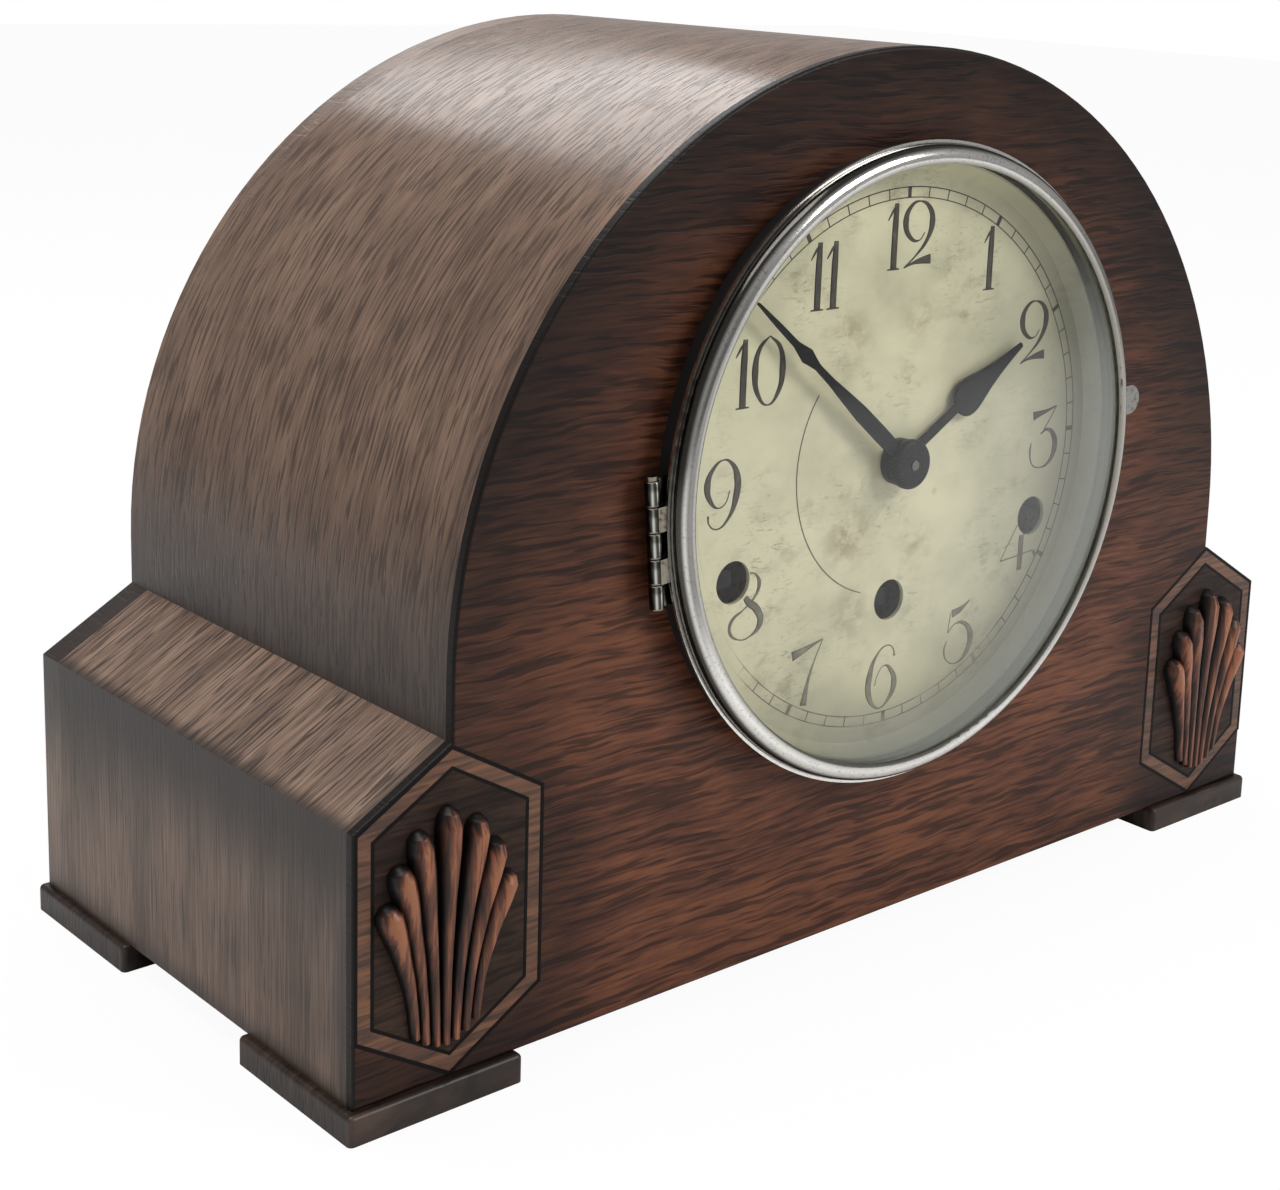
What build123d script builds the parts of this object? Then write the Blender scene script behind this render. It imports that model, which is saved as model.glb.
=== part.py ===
from build123d import *
import math
import os

os.makedirs("parts", exist_ok=True)

# Case sizes, heights above the table
case_width = 300
case_depth = 137.5
foot_height = 6.5
shoulder_width = 23.3
shoulder_drop = 13.9
arch_stilt = 12.2
crown_margin = 20.7
shell_thick = 5
side_thick = 6
top_thick = 6
base_thick = 8
lip_thick = 2.5
lip_round = 0.8
panel_thick = 9
back_thick = 8
glue_gap = 0.1
overrun = 20

# Feet
foot_width = 43
foot_depth = 44.5
foot_overhang = 2
foot_round = 1.2

# Hexagon inlay and carved shells
hexagon_width = 46.8
hexagon_low_z = 20.7
band_outer_inset = 1.0
band_inner_inset = 4.1
inlay_depth = 0.8
inlay_gap = 0.05
carving_half_width = 14.6
carving_height_share = 0.7186
carving_bottom_z = 14.8
carving_shift = 1.4
carving_lift = 1.2
rib_tip_radius = 4.3
rib_base_radius = 1.8
rib_side_shares = (
    (0.49, 0.93, 0.14, 0.015),
    (0.79, 0.81, 0.28, 0.045),
    (1.0, 0.66, 0.4, 0.075),
)

# Dial, bezel and glass, depths counted backward from the front face
dial_z = 121.3
dial_depth = 1.0
dial_thick = 1.0
dial_gap = 0.2
winding_hole_radius = 5
dial_foot_radius = 1.4
dial_foot_shares = ((-0.627, 0.557), (0.627, 0.557), (-0.418, -0.627), (0.418, -0.627))
seat_inset = 1.8
seat_width = 2.8
seat_height = 4.9
sight_width = 3
sight_height = 3
sight_wall = 0.5
bezel_outer_radius = 76.6
bezel_width = 5.3
bezel_back = 5.2
bezel_edge = 5.9
bezel_flange = 0.9
bezel_crown = 9.3
bezel_crown_inset = 3.2
bezel_lip = 9.0
bezel_lip_under = 8.3
glass_lap = 0.8
glass_rim = 7.9
glass_thick = 1.6
glass_sag = 7.5
rim_gap = 0.15

# Bezel hinge and tab, on a line tilted from the level through the dial centre
hinge_tilt = 5
hinge_clear = 2.1
hinge_rise = 4.0
hinge_length = 29
knuckle_count = 5
knuckle_radius = 1.6
knuckle_gap = 0.3
hinge_pin_radius = 0.7
pin_fit = 0.05
pin_head_radius = 1.4
pin_head_thick = 0.9
base_strap_thick = 1.4
leaf_strap_thick = 0.7
tab_half_width = 3.8
tab_length = 6.4
tab_thick = 0.9

# Hands
minute_clear = 6.3
minute_angle = -49.6
minute_front = 3.2
hour_length = 47.6
hour_angle = 59.3
hour_front = 1.2
hand_thick = 0.7
hour_boss_radius = 5.6
minute_boss_radius = 5.6
boss_gap = 0.4
nut_radius = 6
nut_height = 1.9
nut_round = 1.2
arbor_tip = 0.4
minute_shape_shares = (
    (0, 0.027),
    (0.2, 0.030),
    (0.33, 0.029),
    (0.43, 0.022),
    (0.53, 0.014),
    (0.62, 0.012),
    (0.655, 0.019),
    (0.69, 0.028),
    (0.725, 0.020),
    (0.76, 0.012),
    (0.87, 0.010),
    (1.0, 0.004),
)
hour_shape_shares = (
    (0, 0.026),
    (0.452, 0.024),
    (0.458, 0.048),
    (0.468, 0.066),
    (0.485, 0.082),
    (0.51, 0.093),
    (0.54, 0.098),
    (0.57, 0.097),
    (0.61, 0.088),
    (0.66, 0.072),
    (0.72, 0.055),
    (0.79, 0.040),
    (0.88, 0.025),
    (1.0, 0.011),
)

# Movement plates and pillars
plate_half_width = 72
plate_low = -54
plate_high = 50
plate_corner = 6
plate_thick = 2.5
front_plate_depth = 16
plate_space = 40
pillar_radius = 3.5
spigot_radius = 2
post_radius = 4.5
rivet_head = 1
pillar_places = ((-66, 44), (66, 44), (-66, -48), (66, -48))

# Wheelwork
running_fit = 0.05
end_shake = 0.3
arbor_radius = 1.2
pivot_radius = 0.8
centre_arbor_radius = 1.6
great_teeth = 64
great_leaves = 8
great_module = 0.75
second_teeth = 60
second_leaves = 10
fly_leaves = 8
second_module = 0.6
centre_teeth = 96
third_teeth = 72
fine_leaves = 8
fine_module = 0.4
cannon_leaves = 10
minute_teeth = 30
minute_leaves = 8
hour_teeth = 32
motion_module = 0.6
escape_teeth = 52
escape_radius = 10
escape_root = 8.7
wheel_shares = (0.09, 0.24, 0.9, 1.3)
leaf_shares = (0.07, 0.20, 0.8, 1.25)
spoke_hole_shares = (0.54, 0.27)
spoke_count = 5
wheel_thick = 1.6
great_thick = 2
fine_thick = 1.2
pinion_margin = 0.6

# Depths of the wheels behind the front face
great_depth = 21
drum_length = 22
second_depth = 47
strike_depth = 54
centre_depth = 51
third_depth = 40
escape_depth = 30
cannon_depth = 12.6
cannon_length = 2.6
minute_wheel_depth = 12.9
minute_wheel_thick = 2
minute_pinion_depth = 8.6
hour_wheel_depth = 9.4
hour_wheel_thick = 1.8
cannon_pipe_radius = 2
hour_pipe_radius = 3
stud_radius = 1
stud_end = 8

# Places of the arbors, from the dial centre
strike_hole = (-50.8, -21.3)
time_hole = (0, -34.4)
chime_hole = (50.8, -21.3)
drum_radius = 21
winding_arbor_radius = 3
winding_pivot_radius = 2
winding_square = 4.2
winding_square_depth = 4
collar_radius = 5
collar_thick = 1.2
motion_turn = 45
third_turn = 132.3
strike_turn = 80
fly_turn = 60
fly_half_width = 7.4
fly_length = 18
fly_depth = 26
fly_thick = 0.8
fly_hub_radius = 2

# Anchor, crutch and pendulum
anchor_rise = 14.9
anchor_shares = (
    (0, 0.21),
    (0.27, 0.14),
    (0.78, -0.33),
    (0.76, -0.59),
    (0.65, -0.55),
    (0.61, -0.39),
    (0.2, -0.14),
)
crutch_depth = 62.2
crutch_thick = 1.2
crutch_width = 3
crutch_drop = 28
crutch_pin_radius = 0.9
cock_depth = 65.5
cock_thick = 2.5
cock_half_width = 16
cock_half_height = 5
cock_foot = 4
cock_pivot_depth = 1.5
pendulum_depth = 69.3
rod_thick = 1.5
rod_width = 5
rod_eye_radius = 3.6
rod_tail = 6
suspension_pin_radius = 1
slot_length = 5
slot_gap = 0.2
bob_z = 64
bob_radius = 15
bob_thick = 8
bob_shares = ((0, 0.5), (0.3, 0.47), (0.6, 0.38), (0.85, 0.25), (1.0, 0.15))

# Chime rods, hammers and drum
hammer_count = 4
hammer_first_depth = 70
hammer_pitch = 9
hammer_clear = 52
hammer_z = -46
hammer_arbor_radius = 1.5
hammer_hub_radius = 4
hammer_hub_thick = 5
lever_thick = 2
lever_half_width = 1.5
hammer_reach = 40
hammer_drop = 26
tail_lean = -2.5
tail_rise = 42
head_radius = 4.5
head_gap = 2.2
arbor_overhang = 3
arbor_flange_thick = 1.5
star_teeth = 8
star_module = 2
star_core_radius = 6
star_thick = 2
rod_z = 33
rod_radius = 1.6
rod_clear = 37.4
rod_step = 10
rod_grip = 12
block_clear = 29.7
block_width = 20
block_height = 28
block_margin = 7
block_round = 2

# Back door
door_rim = 21.7
door_low_z = 30
door_gap = 0.6
door_hinge_shares = (0.09693, 0.67851)
door_hinge_height = 16
door_leaf_width = 16
door_leaf_thick = 1
door_knuckle_radius = 1.6
door_pin_rise = 1.9
door_pin_radius = 0.8
sound_hole_radius = 4
sound_ring_radius = 30
sound_hole_count = 8
knob_inset = 17
knob_radius = 6
knob_neck_radius = 3
knob_length = 11

# Sizes that follow from the ones above
half_width = case_width / 2
arch_radius = half_width - shoulder_width
arch_centre_z = dial_z + bezel_outer_radius + crown_margin - arch_radius
arch_foot_z = arch_centre_z - arch_stilt
shoulder_corner_z = arch_foot_z - shoulder_drop
carving_height = (arch_foot_z - foot_height) * carving_height_share
hinge_radius = bezel_outer_radius + hinge_clear
bezel_inner_radius = bezel_outer_radius - bezel_width
bezel_crown_radius = bezel_outer_radius - bezel_crown_inset
glass_radius = bezel_inner_radius + glass_lap
seat_outer_radius = bezel_outer_radius - seat_inset
opening_radius = seat_outer_radius - seat_width
sight_inner_radius = opening_radius - sight_width
dial_radius = opening_radius - dial_gap
dial_foot_places = [(dial_radius * across, dial_radius * up) for across, up in dial_foot_shares]
minute_length = dial_radius - minute_clear
base_top = foot_height + base_thick
front_reach = glass_rim + glass_sag
front_y = (front_reach - case_depth - knob_length) / 2
body_back = case_depth - back_thick
inner_radius = arch_radius - shell_thick
rod_first_length = 2 * inner_radius - rod_clear
block_x = inner_radius - block_clear
hammer_x = block_x - hammer_clear
door_radius = arch_radius - door_rim
door_hinge_places = [door_low_z + (arch_centre_z - door_low_z) * share for share in door_hinge_shares]
knob_x = knob_inset - door_radius
back_plate_depth = front_plate_depth + plate_thick + plate_space
plates_back = back_plate_depth + plate_thick
inside_front = front_plate_depth + plate_thick
hammer_depths = [hammer_first_depth + hammer_pitch * i for i in range(hammer_count)]


# Upright plane facing the front, at a depth behind the front face
def layer(depth, place=(0, 0)):
    return Plane(origin=(place[0], front_y + depth, place[1]), x_dir=(1, 0, 0), z_dir=(0, -1, 0))


# Place on the movement, given from the dial centre
def at(place):
    return (place[0], dial_z + place[1])


# Upright plane about the dial centre, turned clockwise as the front is seen
def turned(depth, angle):
    a = math.radians(angle)
    return Plane(
        origin=(0, front_y + depth, dial_z),
        x_dir=(math.cos(a), 0, -math.sin(a)),
        z_dir=(0, -1, 0),
    )


# Plane through the dial axis: radius across, depth along
section = Plane(origin=(0, front_y, dial_z), x_dir=(1, 0, 0), z_dir=(0, 0, 1))
dial_axis = Axis((0, front_y, dial_z), (0, 1, 0))


# Round bar or hole between two depths
def disc(place, start, end, radius, mode=Mode.ADD):
    with BuildSketch(layer(start, at(place))) as outline:
        Circle(radius)
    extrude(outline.sketch, amount=start - end, mode=mode)


# Flat piece of a given outline between two depths
def slab(points, start, end, mode=Mode.ADD):
    with BuildSketch(layer(start)) as outline:
        Polygon(*points, align=None)
    extrude(outline.sketch, amount=start - end, mode=mode)


# Corner points of a straight-flanked toothed wheel
def tooth_points(teeth, module, turn, shares):
    tip, root, addendum, dedendum = shares
    pitch = 2 * math.pi / teeth
    low = module * (teeth / 2 - dedendum)
    high = module * (teeth / 2 + addendum)
    points = []
    for i in range(teeth):
        middle = turn + i * pitch
        for radius, share in ((low, -root), (high, -tip), (high, tip), (low, root)):
            angle = middle + share * pitch
            points.append((radius * math.cos(angle), radius * math.sin(angle)))
    return points


# Toothed wheel on an arbor, with round holes for spokes when it is a large one
def wheel(place, start, end, teeth, module, turn, shares=wheel_shares, spoked=False):
    with BuildSketch(layer(start, at(place))) as outline:
        Polygon(*tooth_points(teeth, module, turn, shares), align=None)
        if spoked:
            radius = module * teeth / 2
            with PolarLocations(radius * spoke_hole_shares[0], spoke_count):
                Circle(radius * spoke_hole_shares[1], mode=Mode.SUBTRACT)
    extrude(outline.sketch, amount=start - end)


# Arbor between the plates, with a thinner pivot through each plate
def arbor(place, radius=arbor_radius):
    disc(place, inside_front + end_shake, back_plate_depth - end_shake, radius)
    disc(place, front_plate_depth, plates_back, pivot_radius)


# Direction from one place to another
def heading(start, end):
    return math.atan2(end[1] - start[1], end[0] - start[0])


# Phase of a pinion that meshes with a wheel whose tooth lies on the line of centres
def facing(angle, leaves):
    return angle + math.pi + math.pi / leaves


# Place at a distance and direction from another
def step_from(place, distance, degrees):
    a = math.radians(degrees)
    return (place[0] + distance * math.cos(a), place[1] + distance * math.sin(a))


great_distance = great_module * (great_teeth + great_leaves) / 2
second_distance = second_module * (second_teeth + second_leaves) / 2
fly_distance = second_module * (second_teeth + fly_leaves) / 2
centre_distance = fine_module * (centre_teeth + fine_leaves) / 2
third_distance = fine_module * (third_teeth + fine_leaves) / 2
motion_distance = motion_module * (cannon_leaves + minute_teeth) / 2

# The intermediate arbor stands where both of its meshes come out right
centre_place = (0, 0)
span = math.hypot(*time_hole)
along = (great_distance**2 - second_distance**2 + span**2) / (2 * span)
across = math.sqrt(great_distance**2 - along**2)
second_place = (across, time_hole[1] + along)
third_place = step_from(centre_place, centre_distance, third_turn)
escape_place = (0, third_place[1] + math.sqrt(third_distance**2 - third_place[0] ** 2))
anchor_place = (0, escape_place[1] + anchor_rise)
motion_place = step_from(centre_place, motion_distance, motion_turn)
strike_place = step_from(strike_hole, great_distance, strike_turn)
strike_fly_place = step_from(strike_place, fly_distance, fly_turn)
chime_place = step_from(chime_hole, great_distance, 180 - strike_turn)
chime_fly_place = step_from(chime_place, fly_distance, 180 - fly_turn)
winding_places = (strike_hole, time_hole, chime_hole)
pivot_places = (second_place, third_place, escape_place, strike_place, strike_fly_place, chime_fly_place)


# Outline of the whole front, shoulders and arch
def case_outline(depth):
    with BuildSketch(layer(depth)) as outline:
        with BuildLine():
            Polyline(
                (arch_radius, arch_centre_z),
                (arch_radius, arch_foot_z),
                (half_width, shoulder_corner_z),
                (half_width, foot_height),
                (-half_width, foot_height),
                (-half_width, shoulder_corner_z),
                (-arch_radius, arch_foot_z),
                (-arch_radius, arch_centre_z),
            )
            CenterArc((0, arch_centre_z), arch_radius, 0, 180)
        make_face()
    return outline.sketch


# Round-topped area with straight legs
def arch_area(depth, radius, bottom):
    with BuildSketch(layer(depth)) as outline:
        with BuildLine():
            Polyline(
                (radius, arch_centre_z),
                (radius, bottom),
                (-radius, bottom),
                (-radius, arch_centre_z),
            )
            CenterArc((0, arch_centre_z), radius, 0, 180)
        make_face()
    return outline.sketch


# Hexagonal ring at a lower corner of the front
def hexagon_ring(side, outer_inset, inner_inset):
    corners = (
        (side * arch_radius, arch_foot_z),
        (side * half_width, shoulder_corner_z),
        (side * half_width, hexagon_low_z),
        (side * arch_radius, foot_height),
        (side * (half_width - hexagon_width), hexagon_low_z),
        (side * (half_width - hexagon_width), shoulder_corner_z),
    )
    with BuildSketch(layer(0)) as ring:
        with BuildSketch(layer(0), mode=Mode.PRIVATE) as whole:
            Polygon(*corners, align=None)
        offset(whole.sketch, amount=-outer_inset, kind=Kind.INTERSECTION)
        offset(whole.sketch, amount=-inner_inset, kind=Kind.INTERSECTION, mode=Mode.SUBTRACT)
    return ring.sketch


# Front panel: a thin lip over the edges of the case and a thicker board inside it
with BuildPart() as front_panel:
    extrude(case_outline(0), amount=-lip_thick)
    fillet(front_panel.edges().group_by(Axis.Y)[0], lip_round)
    extrude(arch_area(lip_thick, inner_radius - glue_gap, base_top), amount=lip_thick - panel_thick)
    disc(centre_place, 0, panel_thick, opening_radius, Mode.SUBTRACT)
    for side in (-1, 1):
        groove = hexagon_ring(side, band_outer_inset, band_inner_inset)
        extrude(groove, amount=-inlay_depth, mode=Mode.SUBTRACT)

# Arch shell, bent over the top with its legs on the base board
with BuildPart() as arch_shell:
    extrude(arch_area(lip_thick, arch_radius, base_top), amount=lip_thick - body_back)
    extrude(arch_area(lip_thick, inner_radius, base_top), amount=lip_thick - body_back, mode=Mode.SUBTRACT)

# Shoulders, each of an upright side and a sloping top mitred together
slope = (arch_foot_z - shoulder_corner_z) / (half_width - arch_radius)
top_drop = top_thick * math.hypot(1, slope)
mitre_z = shoulder_corner_z - top_drop + slope * side_thick


def shoulder_side(side):
    slab(
        (
            (side * half_width, foot_height),
            (side * half_width, shoulder_corner_z),
            (side * (half_width - side_thick), mitre_z),
            (side * (half_width - side_thick), foot_height),
        ),
        lip_thick,
        body_back,
    )


def shoulder_top(side):
    slab(
        (
            (side * half_width, shoulder_corner_z),
            (side * arch_radius, arch_foot_z),
            (side * arch_radius, arch_foot_z - top_drop),
            (side * (half_width - side_thick), mitre_z),
        ),
        lip_thick,
        body_back,
    )


with BuildPart() as left_shoulder_side:
    shoulder_side(-1)

with BuildPart() as right_shoulder_side:
    shoulder_side(1)

with BuildPart() as left_shoulder_top:
    shoulder_top(-1)

with BuildPart() as right_shoulder_top:
    shoulder_top(1)

# Base board between the two sides
with BuildPart() as base_board:
    slab(
        (
            (side_thick - half_width, foot_height),
            (half_width - side_thick, foot_height),
            (half_width - side_thick, base_top),
            (side_thick - half_width, base_top),
        ),
        lip_thick,
        body_back,
    )

# Back frame with the round-topped door opening
with BuildPart() as back_frame:
    extrude(case_outline(body_back), amount=-back_thick)
    extrude(arch_area(body_back, door_radius, door_low_z), amount=-back_thick, mode=Mode.SUBTRACT)

# Four flat feet, standing out a little beyond the case
foot_x = half_width + foot_overhang - foot_width / 2
foot_front_y = front_y - foot_overhang + foot_depth / 2
foot_back_y = front_y + case_depth + foot_overhang - foot_depth / 2
with BuildPart() as feet:
    for x in (-foot_x, foot_x):
        with Locations((x, foot_front_y, foot_height / 2), (x, foot_back_y, foot_height / 2)):
            Box(foot_width, foot_depth, foot_height)
    fillet(feet.edges().group_by(Axis.Z)[-1] + feet.edges().filter_by(Axis.Z), foot_round)

# Inlaid bands
with BuildPart() as inlay_bands:
    for side in (-1, 1):
        band = hexagon_ring(side, band_outer_inset + inlay_gap, band_inner_inset - inlay_gap)
        extrude(band, amount=-inlay_depth)


# Carved shell: seven round ribs that fan out from a narrow foot
def carved_shell(side):
    centre_x = side * (arch_radius + carving_shift)
    ribs = [(0, 1, 0, 0)]
    for tip_x, tip_z, base_x, base_z in rib_side_shares:
        ribs.append((tip_x, tip_z, base_x, base_z))
        ribs.append((-tip_x, tip_z, -base_x, base_z))
    for rib in ribs:
        tip_x, tip_z = rib[0] * carving_half_width, rib[1] * carving_height
        base_x, base_z = rib[2] * carving_half_width, rib[3] * carving_height
        length = math.hypot(tip_x - base_x, tip_z - base_z)
        ux, uz = (tip_x - base_x) / length, (tip_z - base_z) / length
        foot = (centre_x + base_x + ux * rib_base_radius, carving_bottom_z + base_z + uz * rib_base_radius)
        reach = length - rib_base_radius - rib_tip_radius
        lean = math.degrees(math.asin((rib_tip_radius - rib_base_radius) / reach))
        plane = Plane(
            origin=(foot[0], front_y - carving_lift, foot[1]),
            x_dir=(ux, 0, uz),
            z_dir=(0, -1, 0),
        )
        with BuildSketch(plane) as half_rib:
            with BuildLine():
                low = CenterArc((0, 0), rib_base_radius, 180, lean - 90)
                high = CenterArc((reach, 0), rib_tip_radius, 90 + lean, -90 - lean)
                Line(low @ 1, high @ 0)
                Line(high @ 1, low @ 0)
            make_face()
        revolve(half_rib.sketch, axis=Axis(plane.origin, plane.x_dir))
    split(bisect_by=layer(0), keep=Keep.TOP)


with BuildPart() as left_shell_carving:
    carved_shell(-1)

with BuildPart() as right_shell_carving:
    carved_shell(1)

# Bezel seat, a plain ring standing on the front face
with BuildPart() as bezel_seat:
    disc(centre_place, -seat_height, 0, seat_outer_radius)
    disc(centre_place, -seat_height, 0, opening_radius, Mode.SUBTRACT)

# Sight ring, a thin cone between the dial and the bezel
with BuildPart() as sight_ring:
    with BuildSketch(section):
        Polygon(
            (sight_inner_radius, dial_depth),
            (opening_radius - rim_gap - sight_wall, -sight_height),
            (opening_radius - rim_gap, -sight_height),
            (opening_radius - rim_gap, dial_depth),
            align=None,
        )
    revolve(axis=dial_axis)

# Dial plate with its riveted feet and winding holes
with BuildPart() as dial_plate:
    disc(centre_place, dial_depth, dial_depth + dial_thick, dial_radius)
    for place in dial_foot_places:
        disc(place, dial_depth, front_plate_depth, dial_foot_radius)
    for place in winding_places:
        disc(place, 0, front_plate_depth, winding_hole_radius, Mode.SUBTRACT)
    disc(centre_place, 0, front_plate_depth, hour_pipe_radius + boss_gap, Mode.SUBTRACT)

# Bezel ring, a rounded section with a rebate for the glass
with BuildPart() as bezel_ring:
    with BuildSketch(section):
        with BuildLine():
            Polyline(
                (bezel_inner_radius, -bezel_lip),
                (bezel_inner_radius, -bezel_lip_under),
                (glass_radius + rim_gap, -bezel_lip_under),
                (glass_radius + rim_gap, -bezel_back),
                (bezel_outer_radius, -bezel_back),
                (bezel_outer_radius, -bezel_edge),
                (bezel_outer_radius - bezel_flange, -bezel_edge),
            )
            ThreePointArc(
                (bezel_outer_radius - bezel_flange, -bezel_edge),
                (bezel_crown_radius, -bezel_crown),
                (bezel_inner_radius, -bezel_lip),
            )
        make_face()
    revolve(axis=dial_axis)

# Convex glass
dome_radius = (glass_radius**2 + glass_sag**2) / (2 * glass_sag)
half_way = glass_radius / 2
half_sag = dome_radius - math.sqrt(dome_radius**2 - half_way**2)
with BuildPart() as bezel_glass:
    with BuildSketch(section):
        with BuildLine():
            front = ThreePointArc(
                (0, -front_reach),
                (half_way, half_sag - front_reach),
                (glass_radius, -glass_rim),
            )
            back = ThreePointArc(
                (glass_radius, glass_thick - glass_rim),
                (half_way, half_sag - front_reach + glass_thick),
                (0, glass_thick - front_reach),
            )
            Line(front @ 1, back @ 0)
            Line(back @ 1, front @ 0)
        make_face()
    revolve(axis=dial_axis)

# Bezel hinge: five knuckles in a line, shared out between the base and the leaf
knuckle_length = hinge_length / knuckle_count
hinge_line = turned(-hinge_rise, -hinge_tilt)


def hinge_plane(along_hinge):
    spot = hinge_line.from_local_coords((-hinge_radius, along_hinge, 0))
    return Plane(origin=spot, x_dir=(0, -1, 0), z_dir=hinge_line.y_dir)


def knuckles(numbers, depth, thick, ring_radius):
    for number in numbers:
        start = number * knuckle_length - hinge_length / 2 + knuckle_gap / 2
        length = knuckle_length - knuckle_gap
        with BuildSketch(hinge_plane(start)) as round_end:
            Circle(knuckle_radius)
        extrude(round_end.sketch, amount=length)
        with BuildSketch(turned(depth, -hinge_tilt)) as strap:
            Polygon(
                (-hinge_radius, start),
                (-ring_radius + knuckle_radius, start),
                (-ring_radius + knuckle_radius, start + length),
                (-hinge_radius, start + length),
                align=None,
            )
        extrude(strap.sketch, amount=-thick)
    disc(centre_place, depth, depth + thick, ring_radius + inlay_gap, Mode.SUBTRACT)
    with BuildSketch(hinge_plane(-hinge_length / 2)) as bore:
        Circle(hinge_pin_radius + pin_fit)
    extrude(bore.sketch, amount=hinge_length, mode=Mode.SUBTRACT)


with BuildPart() as bezel_hinge_base:
    knuckles((0, 2, 4), -hinge_rise, base_strap_thick, seat_outer_radius)

with BuildPart() as bezel_hinge_leaf:
    knuckles((1, 3), -bezel_back - leaf_strap_thick, leaf_strap_thick, bezel_outer_radius)

with BuildPart() as bezel_hinge_pin:
    with BuildSketch(hinge_plane(-hinge_length / 2)):
        Circle(hinge_pin_radius)
    extrude(amount=hinge_length)
    with BuildSketch(hinge_plane(hinge_length / 2)):
        Circle(pin_head_radius)
    extrude(amount=pin_head_thick)

# Thumb tab at the far side of the bezel
with BuildPart() as bezel_tab:
    with BuildSketch(turned(-bezel_back - tab_thick, -hinge_tilt)):
        with Locations((bezel_outer_radius + tab_length - tab_half_width, 0)):
            Circle(tab_half_width)
        with Locations((bezel_outer_radius, 0)):
            Rectangle(2 * (tab_length - tab_half_width), 2 * tab_half_width)
    extrude(amount=-tab_thick)
    disc(centre_place, -bezel_back - tab_thick, -bezel_back, bezel_outer_radius + inlay_gap, Mode.SUBTRACT)


# Flat hand of a given outline, with a round hub
def hand(front, angle, length, shape_shares, hub_radius):
    right = [(length * width, length * reach) for reach, width in shape_shares]
    left = [(-x, z) for x, z in reversed(right)]
    with BuildSketch(turned(-front, angle)) as outline:
        Polygon(*right, *left, align=None)
        Circle(hub_radius)
    extrude(outline.sketch, amount=-hand_thick)


minute_back = minute_front - hand_thick
with BuildPart() as minute_hand:
    hand(minute_front, minute_angle, minute_length, minute_shape_shares, minute_boss_radius)
    boss_end = -hour_front - boss_gap
    disc(centre_place, -minute_back, boss_end, minute_boss_radius)
    disc(centre_place, -minute_back, boss_end, cannon_pipe_radius + running_fit, Mode.SUBTRACT)
    disc(centre_place, -minute_front, 0, arbor_radius + running_fit, Mode.SUBTRACT)

with BuildPart() as hand_nut:
    disc(centre_place, -minute_front - nut_height, -minute_front, nut_radius)
    fillet(hand_nut.edges().group_by(Axis.Y)[0], nut_round)
    disc(centre_place, -minute_front - nut_height, -minute_front, arbor_radius + running_fit, Mode.SUBTRACT)

with BuildPart() as hour_hand:
    hand(hour_front, hour_angle, hour_length, hour_shape_shares, hour_boss_radius)
    disc(centre_place, -hour_front, dial_depth - boss_gap, hour_boss_radius)
    disc(centre_place, -hour_front, dial_depth, hour_pipe_radius + running_fit, Mode.SUBTRACT)

# Motion work behind the dial
motion_heading = math.radians(motion_turn)
with BuildPart() as cannon_pinion:
    disc(centre_place, -minute_back, cannon_depth + cannon_length, cannon_pipe_radius)
    wheel(
        centre_place,
        cannon_depth,
        cannon_depth + cannon_length,
        cannon_leaves,
        motion_module,
        facing(motion_heading + math.pi, cannon_leaves),
        leaf_shares,
    )
    disc(centre_place, -minute_back, front_plate_depth, arbor_radius + running_fit, Mode.SUBTRACT)

with BuildPart() as minute_wheel:
    wheel(
        motion_place,
        minute_wheel_depth,
        minute_wheel_depth + minute_wheel_thick,
        minute_teeth,
        motion_module,
        motion_heading + math.pi,
    )
    wheel(
        motion_place,
        minute_pinion_depth,
        minute_wheel_depth,
        minute_leaves,
        motion_module,
        facing(motion_heading, minute_leaves),
        leaf_shares,
    )
    disc(motion_place, 0, front_plate_depth, stud_radius + running_fit, Mode.SUBTRACT)

with BuildPart() as hour_wheel:
    wheel(
        centre_place,
        hour_wheel_depth,
        hour_wheel_depth + hour_wheel_thick,
        hour_teeth,
        motion_module,
        motion_heading,
    )
    disc(centre_place, -hour_front, hour_wheel_depth + hour_wheel_thick, hour_pipe_radius)
    disc(centre_place, -hour_front, front_plate_depth, cannon_pipe_radius + running_fit, Mode.SUBTRACT)


# Movement plate with the holes that both plates share
def movement_plate(start):
    middle = (plate_low + plate_high) / 2
    with BuildSketch(layer(start, at((0, middle)))) as outline:
        RectangleRounded(2 * plate_half_width, plate_high - plate_low, plate_corner)
    extrude(outline.sketch, amount=-plate_thick)
    for place in pillar_places:
        disc(place, start, start + plate_thick, spigot_radius, Mode.SUBTRACT)
    for place in pivot_places:
        disc(place, start, start + plate_thick, pivot_radius + running_fit, Mode.SUBTRACT)


with BuildPart() as front_plate:
    movement_plate(front_plate_depth)
    for place in winding_places:
        disc(place, front_plate_depth, inside_front, winding_arbor_radius + running_fit, Mode.SUBTRACT)
    for place in (chime_place, anchor_place):
        disc(place, front_plate_depth, inside_front, pivot_radius + running_fit, Mode.SUBTRACT)
    disc(centre_place, front_plate_depth, inside_front, arbor_radius + running_fit, Mode.SUBTRACT)
    disc(motion_place, stud_end, front_plate_depth, stud_radius)

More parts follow.
